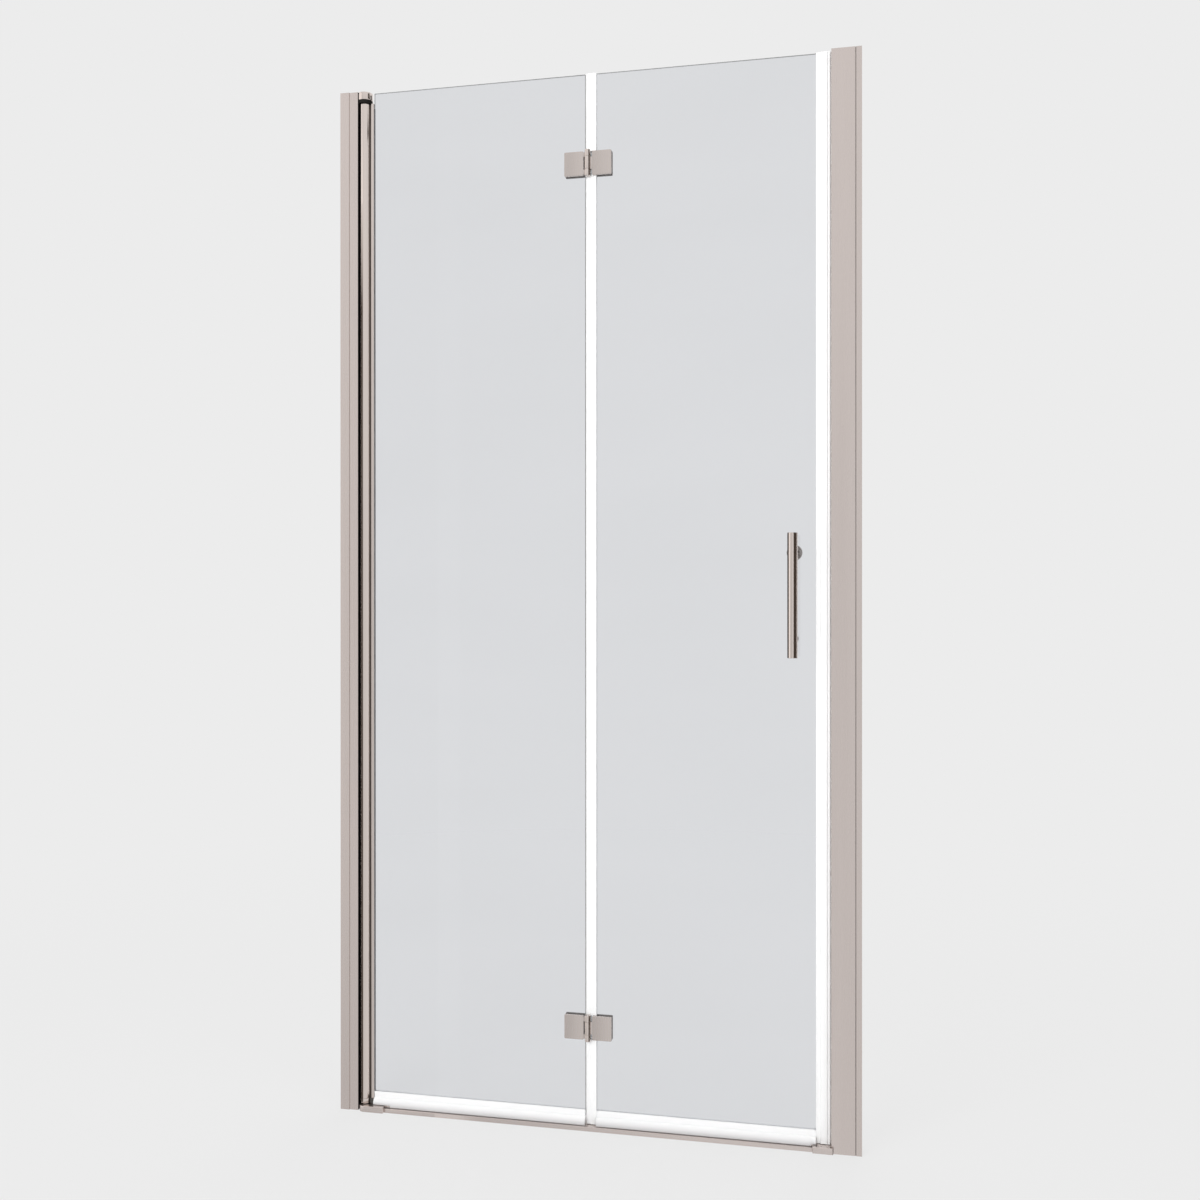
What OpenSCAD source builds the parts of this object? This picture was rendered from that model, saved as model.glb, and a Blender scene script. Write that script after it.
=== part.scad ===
// Shower door of two glass leaves: the inner one turns on a pivot tube beside the
// left wall, and the outer one folds against it on two hinges.
// X runs along the door, Y into the shower, Z up. The origin lies on the floor,
// midway between the walls, in the middle plane of the glass.

/* [Door] */
// Width from wall to wall
door_w = 980; // [920:1:1100]
// Height of the wall profiles
door_h = 1950; // [1800:1:2100]
// Distance from the pivot axis to the fold axis
inner_leaf_w = 440.5; // [400:0.5:460]
// Thickness of the glass
glass_t = 6; // [5:0.5:8]
// Height of the glass above the floor
glass_lift = 22; // [20:0.5:30]
// Drop from the top of the wall profiles to the top of the glass
glass_drop = 1; // [1:0.5:6]

/* [Wall profiles] */
// Depth of the wall channels
channel_d = 30; // [28:0.5:36]
// Wall of the channels, jambs and threshold
wall_t = 1.5; // [1.2:0.1:2]
// Visible face of the left channel
left_flange = 17.7; // [14:0.1:22]
// Visible face of the right channel
right_flange = 10; // [9.5:0.1:16]
// Distance from the left wall to the lips of the left jamb
left_jamb_reach = 35; // [32:0.5:44]
// Distance from the right wall to the face of the right jamb
right_jamb_reach = 53; // [45:0.5:60]
// Space between a jamb and the web of its channel
jamb_back = 1.5; // [1:0.1:4]
// Bore of the wall screw holes
wall_screw_d = 5; // [4:0.1:6]
// Distance from the ends of a channel to its outer wall screws
wall_screw_in = 150; // [60:5:250]
// Thread diameter of the screws that clamp the jambs in their channels
clamp_screw_d = 3.5; // [3:0.1:4]

/* [Pivot] */
// Outer diameter of the pivot tube
tube_d = 23; // [21:0.5:24]
// Wall of the pivot tube
tube_wall = 3; // [2.5:0.1:4]
// Distance from the lips of the left jamb to the pivot axis
axis_out = 9.5; // [8.5:0.5:11]
// Radial gap between the pivot tube and its seat in the jamb
seat_gap = 0.9; // [0.6:0.1:1.3]
// Diameter of the pivot pins
pivot_pin_d = 8; // [6:0.5:9]
// Length of a pivot pin inside the leaf
pivot_pin_in = 22; // [14:1:40]
// Height of the top bracket
bracket_h = 14.5; // [12:0.5:20]
// Thickness of the black washer under the top bracket
washer_h = 6; // [3:0.5:8]
// Engagement of the inner pane in the channel of the tube
glazing_in = 5; // [4.6:0.1:6]
// Length of the channel arms past the tube
arm_l = 8; // [7:0.1:12]
// Thickness of the glazing gasket on each side
gasket_t = 1; // [1:0.1:1.4]

/* [Floor parts] */
// Height of the foot and of the end cap
block_h = 11.4; // [10.8:0.1:15]
// Distance from the glass plane to the front of the foot and of the end cap
block_front = 20.4; // [18:0.2:24]
// Length of the foot to the right of the pivot axis
foot_l = 43.3; // [40:0.1:60]
// Length of the end cap
end_cap_l = 32.8; // [25:0.2:45]
// Height of the front face of the threshold
bar_front_h = 7.8; // [6:0.1:8.8]
// Rise of the crown of the threshold above its front
bar_rise = 0.6; // [0.3:0.1:1]

/* [Fold hinges] */
// Distance from the ends of the glass to the middle of a hinge
hinge_in = 166; // [120:2:300]
// Height of the hinge plates
hinge_plate_h = 44.5; // [40:0.5:60]
// Width of a hinge plate
hinge_plate_w = 36.5; // [30:0.5:45]
// Thickness of a hinge plate
hinge_plate_t = 5; // [4:0.5:6]
// Distance from the fold axis to the nearer edge of a plate
hinge_plate_gap = 8; // [7.5:0.5:10]
// Diameter of the hinge barrel
barrel_d = 10.5; // [9:0.5:11.5]
// Length of the hinge barrel
barrel_l = 48; // [46:0.5:64]
// Diameter of the hinge pin
hinge_pin_d = 5; // [4:0.5:6]
// Thickness of the pads between the plates and the glass
pad_t = 0.5; // [0.5:0.1:1]

/* [Seals] */
// Thickness of the walls of the plastic seals
seal_t = 1.2; // [1:0.1:1.4]
// Height of the top edge of the bottom sweeps above the foot of the glass
sweep_h = 13.3; // [12:0.1:22]
// Length of the arms of the fold seal over the outer pane
fold_seal_l = 10.6; // [8:0.2:16]
// Width of the closing seal, from its free edge to its arms
closing_seal_w = 19.8; // [17:0.2:24]

/* [Handle] */
// Length of the handle bar
handle_l = 220; // [200:5:400]
// Diameter of the handle bar
handle_d = 18; // [16:0.5:22]
// Distance from the glass plane to the axis of the bar
handle_out = 45; // [38:1:60]
// Distance between the two posts
post_pitch = 154; // [120:2:180]
// Diameter of the posts
post_d = 12; // [10:0.5:14]
// Distance from the closing edge of the glass to the bar
handle_in = 46; // [40:1:80]
// Diameter of the inside knob
knob_d = 28; // [24:0.5:34]
// Diameter of the inside cap
cap_d = 16; // [14:0.5:20]

/* [Hidden] */
$fn = 64;

run_gap = 0.05; // radial running clearance of the pins
touch_gap = 0.2; // space between pieces that slide together at assembly
swing_gap = 0.6; // space between the leaves and what they pass
cut = 1; // how far a cutter runs past the face that it opens

left_x = -door_w / 2;
right_x = door_w / 2;
pivot_x = left_x + left_jamb_reach + axis_out;
fold_x = pivot_x + inner_leaf_w;
jamb_d = channel_d - 2 * (wall_t + touch_gap);
right_jamb_x = right_x - right_jamb_reach;

half_glass = glass_t / 2;
glass_z0 = glass_lift;
glass_z1 = door_h - glass_drop;
glass_mid_z = (glass_z0 + glass_z1) / 2;

tube_r = tube_d / 2;
tube_bore_r = tube_r - tube_wall;
seat_r = tube_r + seat_gap;
nest_r = seat_r - touch_gap;
pin_r = pivot_pin_d / 2;
bush_r = pin_r + run_gap;
bush_floor = 2; // plastic left beyond the end of a pin
bracket_z = door_h - bracket_h;
bracket_r = channel_d / 2;
tube_z0 = glass_z0;
tube_z1 = bracket_z - washer_h - 0.5;
collar_z0 = block_h + 1;
collar_z1 = tube_z0 - touch_gap;
spigot_h = 22;
pin_seat = 10; // depth of a pivot pin in its bracket or foot
block_screw_d = 5;

arm_in_y = half_glass + gasket_t;
arm_y = arm_in_y + 1.2;
neck_y = 2.6; // half the neck between the tube and its glazing channel
web_x = pivot_x + tube_r + 0.6;
slot_x = web_x + 1;
arm_x = pivot_x + tube_r + arm_l;
pane1_x0 = arm_x - glazing_in;
gasket_x1 = arm_x + 0.6;
plug_z = 8; // depth of the plugs at the ends of the channel
pane1_x1 = fold_x - 5.5;
pane2_x0 = fold_x + 5;

closing_x = right_jamb_x - 7.2;
pane2_x1 = closing_x - 12.8;
seal_in_y = half_glass + run_gap;
seal_y = seal_in_y + seal_t;
leaf_z0 = block_h + 0.6; // lowest point of the leaves over the foot and the end cap
bar_crown_h = bar_front_h + bar_rise;
low_z0 = bar_crown_h + 0.8; // lowest point of the leaves over the threshold
seal_z1 = glass_z1 + 0.8;

foot_x1 = pivot_x + foot_l;
end_cap_x = right_jamb_x - touch_gap;
bar_x0 = foot_x1;
bar_x1 = end_cap_x - end_cap_l;
lip_x0 = pivot_x + norm([foot_l, block_front]) + 6.5; // the lips of the sweeps start clear of the foot
lip_x1 = bar_x1 - 3; // and end before the end cap
tongue_l = 12;

plate_in_y = half_glass + pad_t;
plate_out_y = plate_in_y + hinge_plate_t;
fold_y = -plate_out_y - 1;
hinge_zs = [glass_z0 + hinge_in, glass_z1 - hinge_in];
knuckle_h = barrel_l * 0.48;
hinge_screw_r = 2.5;
hinge_screw_zs = [-hinge_plate_h * 0.27, hinge_plate_h * 0.27];
plate_mid = hinge_plate_gap + hinge_plate_w / 2;
pane_hole_r = 5;

handle_x = pane2_x1 - handle_in;
handle_zs = [glass_mid_z - post_pitch / 2, glass_mid_z + post_pitch / 2];
ring_t = 1; // clear rings between the handle parts and the glass
stud_r = 2.5;
stud_in = 12; // length of a stud in a post and in the knob

clamp_zs = [door_h * 0.15, door_h * 0.5, door_h * 0.85];
clamp_in = 7.2; // distance from a wall to its clamp screws
wall_screw_zs = [for (i = [0:3]) wall_screw_in + i * (door_h - 2 * wall_screw_in) / 3];

nickel = [0.78, 0.73, 0.71];
pale_glass = [0.85, 0.9, 0.92, 0.35];
white = [0.95, 0.95, 0.95];
black = [0.1, 0.09, 0.08];
grey = [0.55, 0.55, 0.56];
steel = [0.62, 0.62, 0.64];

// A cylinder along +Y whose near end is at y
module y_cylinder(r, y, l) {
    translate([0, y, 0]) rotate([-90, 0, 0]) cylinder(r = r, h = l);
}

// A cylinder along +X whose near end is at x
module x_cylinder(r, x, l) {
    translate([x, 0, 0]) rotate([0, 90, 0]) cylinder(r = r, h = l);
}

// A section drawn in Y and Z, carried along X from x0 to x1
module along_x(x0, x1) {
    translate([x0, 0, 0]) rotate([90, 0, 90]) linear_extrude(x1 - x0) children();
}

// A section drawn in X and Y, carried up Z from z0 to z1
module along_z(z0, z1) {
    translate([0, 0, z0]) linear_extrude(z1 - z0) children();
}

// A sheet drawn in X and Z, with its faces at y0 and y1
module sheet(y0, y1) {
    translate([0, y1, 0]) rotate([90, 0, 0]) linear_extrude(y1 - y0) children();
}

// A rectangle between two corners
module box_2d(x0, y0, x1, y1) {
    translate([x0, y0]) square([x1 - x0, y1 - y0]);
}

// A rectangle with round corners, centred on the origin
module round_plate_2d(w, h, r) {
    square([w - 2 * r, h], center = true);
    square([w, h - 2 * r], center = true);
    for (x = [-1, 1], y = [-1, 1])
        translate([x * (w / 2 - r), y * (h / 2 - r)]) circle(r = r);
}

// Wall channel: a U whose web lies on the wall at X 0 and whose flanges run to +X
module wall_channel(flange) {
    difference() {
        along_z(0, door_h) difference() {
            box_2d(0, -channel_d / 2, flange, channel_d / 2);
            box_2d(wall_t, -channel_d / 2 + wall_t, flange + cut, channel_d / 2 - wall_t);
        }
        for (z = wall_screw_zs)
            translate([0, 0, z]) x_cylinder(wall_screw_d / 2, -cut, wall_t + 2 * cut);
        for (z = clamp_zs)
            translate([clamp_in, 0, z])
                y_cylinder(clamp_screw_d / 2 + touch_gap, channel_d / 2 - wall_t - cut / 2, wall_t + cut);
    }
}

module left_wall_channel() {
    color(nickel) translate([left_x, 0, 0]) wall_channel(left_flange);
}

module right_wall_channel() {
    color(nickel) translate([right_x, 0, 0]) mirror([1, 0, 0]) wall_channel(right_flange);
}

// Holes for the clamp screws through the rear wall of a jamb
module clamp_holes(x) {
    for (z = clamp_zs)
        translate([x, 0, z]) y_cylinder(clamp_screw_d / 2, jamb_d / 2 - wall_t - cut / 2, wall_t + cut);
}

// Left jamb: a hollow box whose open side is a round seat for the pivot tube
module left_jamb() {
    x0 = left_x + wall_t + jamb_back;
    x1 = left_x + left_jamb_reach;
    color(nickel) difference() {
        along_z(0, door_h) difference() {
            box_2d(x0, -jamb_d / 2, x1, jamb_d / 2);
            translate([pivot_x, 0]) circle(r = seat_r);
            difference() {
                box_2d(x0 + wall_t, -jamb_d / 2 + wall_t, x1 - wall_t, jamb_d / 2 - wall_t);
                translate([pivot_x, 0]) circle(r = seat_r + wall_t);
            }
        }
        clamp_holes(left_x + clamp_in);
        for (z = [block_h / 2, door_h - bracket_h / 2])
            translate([pivot_x, 0, z]) x_cylinder(block_screw_d / 2 + touch_gap, -seat_r - wall_t - cut, wall_t + 2 * cut);
    }
}

strip_lip_y = 3; // half the mouth of the groove for the magnet strip
strip_foot_y = 6; // half the width of that groove
strip_foot_t = 3; // thickness of the foot of the strip
groove_d = 5; // depth of the groove behind its lips
shadow_gap = 1.5; // groove between the right jamb and the flanges of its channel

// Right jamb: a hollow box, as deep as its channel outside it and narrower inside it,
// with a groove in its face for the magnet strip
module right_jamb() {
    x0 = right_jamb_x;
    x1 = right_x - wall_t - jamb_back;
    step_x = right_x - right_flange - shadow_gap;
    web_x = x0 + wall_t + groove_d;
    color(nickel) difference() {
        along_z(0, door_h) difference() {
            union() {
                box_2d(x0, -jamb_d / 2, x1, jamb_d / 2);
                box_2d(x0, -channel_d / 2, step_x, channel_d / 2);
            }
            box_2d(web_x + wall_t, -jamb_d / 2 + wall_t, x1 - wall_t, jamb_d / 2 - wall_t);
            box_2d(web_x + wall_t, -channel_d / 2 + wall_t, step_x - wall_t, channel_d / 2 - wall_t);
            box_2d(x0 - cut, -strip_lip_y, web_x, strip_lip_y);
            box_2d(x0 + wall_t, -strip_foot_y, web_x, strip_foot_y);
            for (side = [-1, 1])
                translate([0, side * (strip_foot_y + wall_t + jamb_d / 2 - wall_t) / 2])
                    box_2d(x0 + wall_t, -(jamb_d / 2 - strip_foot_y - 2 * wall_t) / 2,
                        web_x, (jamb_d / 2 - strip_foot_y - 2 * wall_t) / 2);
        }
        clamp_holes(right_x - clamp_in);
    }
}

clamp_head_r = 2.7;
clamp_head_h = 1.8;

// Pan-head screws that clamp each jamb in its channel, from inside the shower
module jamb_clamp_screws() {
    head_y = channel_d / 2;
    shank_l = wall_t + touch_gap + wall_t + 2;
    color(steel) for (x = [left_x + clamp_in, right_x - clamp_in], z = clamp_zs)
        translate([x, 0, z]) difference() {
            union() {
                y_cylinder(clamp_head_r, head_y, clamp_head_h);
                y_cylinder(clamp_screw_d / 2, head_y - shank_l, shank_l);
            }
            y_cylinder(1.1, head_y + clamp_head_h / 2, clamp_head_h);
        }
}

magnet_head_y = 6; // half the depth of the two magnetic seals
strip_gap = 2; // gap between the head of the strip and the right jamb

// White strip on the right jamb, with its foot in the groove
module jamb_magnet_strip() {
    x0 = closing_x + swing_gap;
    x1 = right_jamb_x - strip_gap;
    foot_x = right_jamb_x + wall_t + touch_gap;
    color(white) along_z(leaf_z0, seal_z1) difference() {
        union() {
            box_2d(x0, -magnet_head_y, x1, magnet_head_y);
            box_2d(x1 - cut, -strip_lip_y + touch_gap, foot_x + cut, strip_lip_y - touch_gap);
            box_2d(foot_x, -strip_foot_y + touch_gap, foot_x + strip_foot_t, strip_foot_y - touch_gap);
        }
        box_2d(x0 + seal_t, -magnet_head_y + 2, x1 - seal_t, magnet_head_y - 2);
    }
}

// Magnet bar inside a seal pocket between x0 and x1
module magnet_bar(x0, x1) {
    color(black) along_z(leaf_z0, glass_z1) box_2d(x0, -magnet_head_y + 2, x1, magnet_head_y - 2);
}

module jamb_magnet() {
    magnet_bar(closing_x + swing_gap + seal_t, right_jamb_x - strip_gap - seal_t);
}

// Outline of the threshold inset by t: flat sides and a round top
module threshold_2d(t) {
    rise = bar_crown_h - bar_front_h;
    r = (pow(channel_d / 2, 2) + rise * rise) / (2 * rise);
    intersection() {
        box_2d(-channel_d / 2 + t, t, channel_d / 2 - t, bar_crown_h);
        translate([0, bar_crown_h - r]) circle(r = r - t, $fn = 256);
    }
}

module threshold_bar() {
    color(nickel) along_x(bar_x0, bar_x1) difference() {
        threshold_2d(0);
        threshold_2d(wall_t);
    }
}

// Tongue of a block that plugs the hollow threshold, between x0 and x1
module tongue(x0, x1) {
    half_y = channel_d / 2 - wall_t - touch_gap;
    along_x(x0, x1) box_2d(-half_y, wall_t + touch_gap, half_y, bar_front_h - wall_t - touch_gap);
}

// End cap of the threshold, with a small lip in front of and behind the jamb
module threshold_end_cap() {
    lip_y = channel_d / 2 + touch_gap;
    lip_x = 3.8;
    corner_r = 1.5;
    color(nickel) {
        difference() {
            along_z(0, block_h) difference() {
                translate([(bar_x1 + end_cap_x + lip_x) / 2, 0])
                    round_plate_2d(end_cap_x + lip_x - bar_x1, 2 * block_front, corner_r);
                box_2d(end_cap_x, -lip_y, end_cap_x + lip_x + cut, lip_y);
            }
            along_x(bar_x1 - cut, end_cap_x + lip_x + cut) for (side = [-1, 1])
                translate([side * block_front, block_h]) rotate(45) square(1.4, center = true);
        }
        tongue(bar_x1 - tongue_l, bar_x1 + cut);
    }
}

// Foot: a block round at its wall end, nested in the seat of the jamb
module pivot_foot() {
    round_r = block_front * 0.6;
    round_x = pivot_x + 4.5;
    corner_r = 1.5;
    half_flat = block_front - round_r;
    color(nickel) difference() {
        union() {
            along_z(0, block_h) {
                translate([pivot_x, 0]) circle(r = nest_r);
                box_2d(round_x - round_r, -half_flat, round_x, half_flat);
                for (side = [-1, 1]) translate([round_x, side * half_flat]) circle(r = round_r);
                box_2d(round_x, -block_front, foot_x1 - corner_r, block_front);
                translate([foot_x1 - 10, 0]) round_plate_2d(20, 2 * block_front, corner_r);
            }
            tongue(foot_x1 - cut, foot_x1 + tongue_l);
        }
        translate([pivot_x, 0, block_h - pin_seat]) cylinder(r = pin_r, h = pin_seat + cut);
        translate([pivot_x, 0, block_h / 2])
            x_cylinder(block_screw_d / 2, -seat_r - cut, seat_r + cut - pin_r - cut);
    }
}

bracket_lip_x = left_x + left_jamb_reach + touch_gap - pivot_x; // its edge at the jamb

// Top bracket: a half disc over the pivot tube, nested in the seat of the jamb
module top_pivot_bracket() {
    bevel = 0.6;
    color(nickel) translate([pivot_x, 0, 0]) difference() {
        union() {
            translate([0, 0, bracket_z]) cylinder(r = nest_r, h = bracket_h);
            intersection() {
                translate([0, 0, bracket_z]) rotate_extrude() polygon([[0, 0], [bracket_r, 0],
                    [bracket_r, bracket_h - bevel], [bracket_r - bevel, bracket_h], [0, bracket_h]]);
                along_z(bracket_z - cut, door_h + cut)
                    box_2d(bracket_lip_x, -channel_d, channel_d, channel_d);
            }
        }
        translate([0, 0, bracket_z - cut]) cylinder(r = pin_r, h = pin_seat + cut);
        translate([0, 0, bracket_z + bracket_h / 2])
            x_cylinder(block_screw_d / 2, -seat_r - cut, seat_r + cut - pin_r - cut);
    }
}

// Screws inside the left jamb that hold the foot and the bracket
module pivot_block_screws() {
    head_l = 3;
    head_r = 4;
    x0 = -seat_r - wall_t;
    shank_end = -pin_r - cut;
    color(steel) for (z = [block_h / 2, door_h - bracket_h / 2])
        translate([pivot_x, 0, z]) {
            x_cylinder(head_r, x0 - head_l, head_l);
            x_cylinder(block_screw_d / 2, x0 - cut, shank_end - x0 + cut);
        }
}

module top_pivot_pin() {
    z0 = tube_z1 - pivot_pin_in;
    color(steel) translate([pivot_x, 0, z0]) cylinder(r = pin_r, h = bracket_z + pin_seat - z0);
}

module bottom_pivot_pin() {
    z0 = block_h - pin_seat;
    color(steel) translate([pivot_x, 0, z0]) cylinder(r = pin_r, h = collar_z0 + pivot_pin_in - z0);
}

// Black washer under the top bracket, with the same outline a little smaller
module top_washer() {
    color(black) translate([pivot_x, 0, 0]) along_z(bracket_z - washer_h, bracket_z) difference() {
        union() {
            circle(r = nest_r);
            intersection() {
                circle(r = bracket_r - 0.6);
                box_2d(bracket_lip_x, -channel_d, channel_d, channel_d);
            }
        }
        circle(r = pin_r);
    }
}

// Thin black ring on the bottom pin
module bottom_washer() {
    color(black) translate([pivot_x, 0, 0]) along_z(block_h, collar_z0 - 0.1) difference() {
        circle(r = tube_r - 0.5);
        circle(r = pin_r);
    }
}

// Pivot tube with a neck and the channel that holds the inner pane, as one profile
module pivot_tube() {
    color(nickel) along_z(tube_z0, tube_z1) difference() {
        union() {
            translate([pivot_x, 0]) circle(r = tube_r);
            box_2d(pivot_x, -neck_y, web_x + cut / 2, neck_y);
            box_2d(web_x, -arm_y, arm_x, arm_y);
        }
        translate([pivot_x, 0]) circle(r = tube_bore_r);
        box_2d(slot_x, -arm_in_y, arm_x + cut, arm_in_y);
    }
}

module top_bush() {
    h = pivot_pin_in + bush_floor + 2;
    color(black) translate([pivot_x, 0, tube_z1 - h]) difference() {
        cylinder(r = tube_bore_r, h = h);
        translate([0, 0, h - pivot_pin_in - bush_floor]) cylinder(r = bush_r, h = h);
    }
}

bottom_bush_r = pin_r + 2;

// Collar under the tube, with a spigot inside it and a blind bore for the bush
module bottom_collar() {
    h = pivot_pin_in + bush_floor;
    color(nickel) translate([pivot_x, 0, 0]) difference() {
        union() {
            translate([0, 0, collar_z0]) cylinder(r = tube_r, h = collar_z1 - collar_z0);
            translate([0, 0, collar_z0]) cylinder(r = tube_bore_r, h = h + 3);
        }
        translate([0, 0, collar_z0 - cut]) cylinder(r = bottom_bush_r, h = h + cut);
    }
}

module bottom_bush() {
    color(black) translate([pivot_x, 0, collar_z0]) difference() {
        cylinder(r = bottom_bush_r, h = pivot_pin_in + bush_floor);
        translate([0, 0, -cut]) cylinder(r = bush_r, h = pivot_pin_in + bush_floor + 2 * cut);
    }
}

// Black plugs at the two ends of the channel, each with a tongue between the arms
module channel_end_plugs() {
    x0 = pivot_x + tube_r + touch_gap;
    tongue_x = slot_x + touch_gap;
    tongue_y = arm_in_y - touch_gap;
    color(black) {
        along_z(collar_z0 + 0.3, tube_z0 - touch_gap / 2) box_2d(x0, -arm_y, gasket_x1, arm_y);
        along_z(tube_z0 - cut, tube_z0 + plug_z) box_2d(tongue_x, -tongue_y, arm_x, tongue_y);
        along_z(tube_z1 - plug_z, tube_z1) box_2d(tongue_x, -tongue_y, arm_x, tongue_y);
    }
}

// Grey gasket round the edge of the inner pane, with lips past the arms
module glazing_gasket() {
    lip_y = arm_y - 0.6;
    color(grey) along_z(tube_z0 + plug_z + touch_gap, tube_z1 - plug_z - touch_gap) difference() {
        union() {
            box_2d(slot_x + touch_gap, -arm_in_y, arm_x, arm_in_y);
            box_2d(arm_x + touch_gap, -lip_y, gasket_x1, lip_y);
            box_2d(arm_x - cut, -arm_in_y, gasket_x1, arm_in_y);
        }
        box_2d(pane1_x0, -half_glass, gasket_x1 + cut, half_glass);
    }
}

// Inner pane, with its corners cut back round the plugs and the bracket
module inner_pane() {
    notch_x = arm_x + 0.5;
    color(pale_glass) difference() {
        sheet(-half_glass, half_glass) difference() {
            box_2d(pane1_x0, glass_z0, pane1_x1, glass_z1);
            box_2d(pane1_x0 - cut, glass_z0 - cut, notch_x, tube_z0 + plug_z + touch_gap);
            box_2d(pane1_x0 - cut, tube_z1 - plug_z - touch_gap, notch_x, glass_z1 + cut);
        }
        hinge_holes(-1, pane_hole_r, -half_glass - cut, glass_t + 2 * cut);
    }
}

// Cylinders on the hinge screw axes of one side: -1 for the inner leaf, 1 for the outer
module hinge_holes(side, r, y, l) {
    for (z = hinge_zs, dz = hinge_screw_zs)
        translate([fold_x + side * plate_mid, 0, z + dz]) y_cylinder(r, y, l);
}

sweep_clip_z = glass_z0 - touch_gap; // foot of the glass in the clip of a sweep

// Clip of a bottom sweep, over the edge of the glass
module sweep_clip_2d() {
    difference() {
        box_2d(-seal_y, sweep_clip_z - seal_t, seal_y, glass_z0 + sweep_h);
        box_2d(-seal_in_y, sweep_clip_z, seal_in_y, glass_z0 + sweep_h + cut);
    }
}

// Blade below the clip and curved drip lip in front of it
module sweep_lips_2d() {
    tip_y = -fold_y + 1.5;
    lip_z1 = glass_z0 + 1;
    root_y = seal_y - 0.1;
    lip_r = (pow(tip_y - root_y, 2) + pow(lip_z1 - low_z0, 2)) / (2 * (tip_y - root_y));
    box_2d(-seal_t / 2, low_z0, seal_t / 2, sweep_clip_z - seal_t / 2);
    intersection() {
        translate([lip_r - tip_y, low_z0]) difference() {
            circle(r = lip_r);
            circle(r = lip_r - seal_t);
        }
        box_2d(-tip_y, low_z0, -seal_in_y, lip_z1);
    }
}

// The lips of the inner sweep are cut back over the foot
module inner_sweep() {
    color(white) {
        along_x(gasket_x1 + touch_gap, pane1_x1) sweep_clip_2d();
        along_x(lip_x0, pane1_x1) sweep_lips_2d();
    }
}

// The lips of the outer sweep are cut back before the end cap
module outer_sweep() {
    x0 = fold_x + 5 + fold_seal_l + touch_gap;
    color(white) {
        along_x(x0, closing_x - closing_seal_w - touch_gap) sweep_clip_2d();
        along_x(x0, lip_x1) sweep_lips_2d();
    }
}

// White seal on the hinged edge of the outer pane: arms, web and a hollow bulb
module fold_seal() {
    web_x = 5 - touch_gap - seal_t;
    bulb_r = half_glass;
    bulb_x = bulb_r - 4.6;
    zone = hinge_plate_h / 2 + touch_gap;
    color(white) translate([fold_x, 0, 0]) difference() {
        along_z(low_z0, seal_z1) {
            difference() {
                box_2d(web_x, -seal_y, 5 + fold_seal_l, seal_y);
                box_2d(web_x + seal_t, -seal_in_y, 5 + fold_seal_l + cut, seal_in_y);
            }
            difference() {
                union() {
                    translate([bulb_x, 0]) circle(r = bulb_r);
                    box_2d(bulb_x, -bulb_r, web_x + 0.1, bulb_r);
                }
                translate([bulb_x, 0]) circle(r = bulb_r - 0.8);
                box_2d(bulb_x, -bulb_r + 0.8, web_x, bulb_r - 0.8);
            }
        }
        for (z = hinge_zs) {
            along_z(z - zone, z + zone) {
                box_2d(web_x - cut, -seal_y - cut, 5 + fold_seal_l + cut, -half_glass);
                box_2d(5, half_glass, 5 + fold_seal_l + cut, seal_y + cut);
            }
        }
    }
}

// White seal on the closing edge of the outer pane, with a pocket for its magnet
module closing_seal() {
    head_x = pane2_x1 + touch_gap;
    color(white) along_z(leaf_z0, seal_z1) difference() {
        union() {
            box_2d(head_x, -magnet_head_y, closing_x, magnet_head_y);
            box_2d(closing_x - closing_seal_w, -seal_y, head_x + cut, seal_y);
        }
        box_2d(closing_x - closing_seal_w - cut, -seal_in_y, head_x, seal_in_y);
        box_2d(closing_x - seal_t - 4, -magnet_head_y + 2, closing_x - seal_t, magnet_head_y - 2);
    }
}

module leaf_magnet() {
    magnet_bar(closing_x - seal_t - 4, closing_x - seal_t);
}

module outer_pane() {
    color(pale_glass) difference() {
        sheet(-half_glass, half_glass) box_2d(pane2_x0, glass_z0, pane2_x1, glass_z1);
        hinge_holes(1, pane_hole_r, -half_glass - cut, glass_t + 2 * cut);
        for (z = handle_zs)
            translate([handle_x, 0, z]) y_cylinder(pane_hole_r, -half_glass - cut, glass_t + 2 * cut);
    }
}

// Front plate of a hinge, its knuckles and their arms; side is -1 or 1 as before.
// knuckles lists the lower and upper end of each, from the middle of the hinge.
module hinge_leaf(side, z, knuckles, bore_r) {
    color(nickel) translate([fold_x, 0, z]) difference() {
        union() {
            translate([side * plate_mid, 0, 0]) sheet(-plate_out_y, -plate_in_y)
                round_plate_2d(hinge_plate_w, hinge_plate_h, 2);
            for (k = knuckles) {
                arm_z0 = max(k[0], -hinge_plate_h / 2 + 2);
                arm_z1 = min(k[1], hinge_plate_h / 2 - 2);
                translate([0, fold_y, k[0]]) cylinder(d = barrel_d, h = k[1] - k[0]);
                along_z(arm_z0, arm_z1)
                    box_2d(min(0, side * (hinge_plate_gap + cut)), -plate_out_y,
                        max(0, side * (hinge_plate_gap + cut)), -plate_in_y - 0.5);
            }
        }
        translate([0, fold_y, -barrel_l]) cylinder(r = bore_r, h = 2 * barrel_l);
        for (dz = hinge_screw_zs)
            translate([side * plate_mid, 0, dz])
                y_cylinder(hinge_screw_r, -plate_in_y - hinge_plate_t * 0.6, hinge_plate_t * 0.6 + cut);
    }
}

outer_knuckles = [[-barrel_l / 2, -knuckle_h / 2 - 0.1], [knuckle_h / 2 + 0.1, barrel_l / 2]];
centre_knuckle = [[-knuckle_h / 2, knuckle_h / 2]];

module lower_hinge_inner_leaf() {
    hinge_leaf(-1, hinge_zs[0], outer_knuckles, hinge_pin_d / 2);
}

module upper_hinge_inner_leaf() {
    hinge_leaf(-1, hinge_zs[1], outer_knuckles, hinge_pin_d / 2);
}

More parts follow.
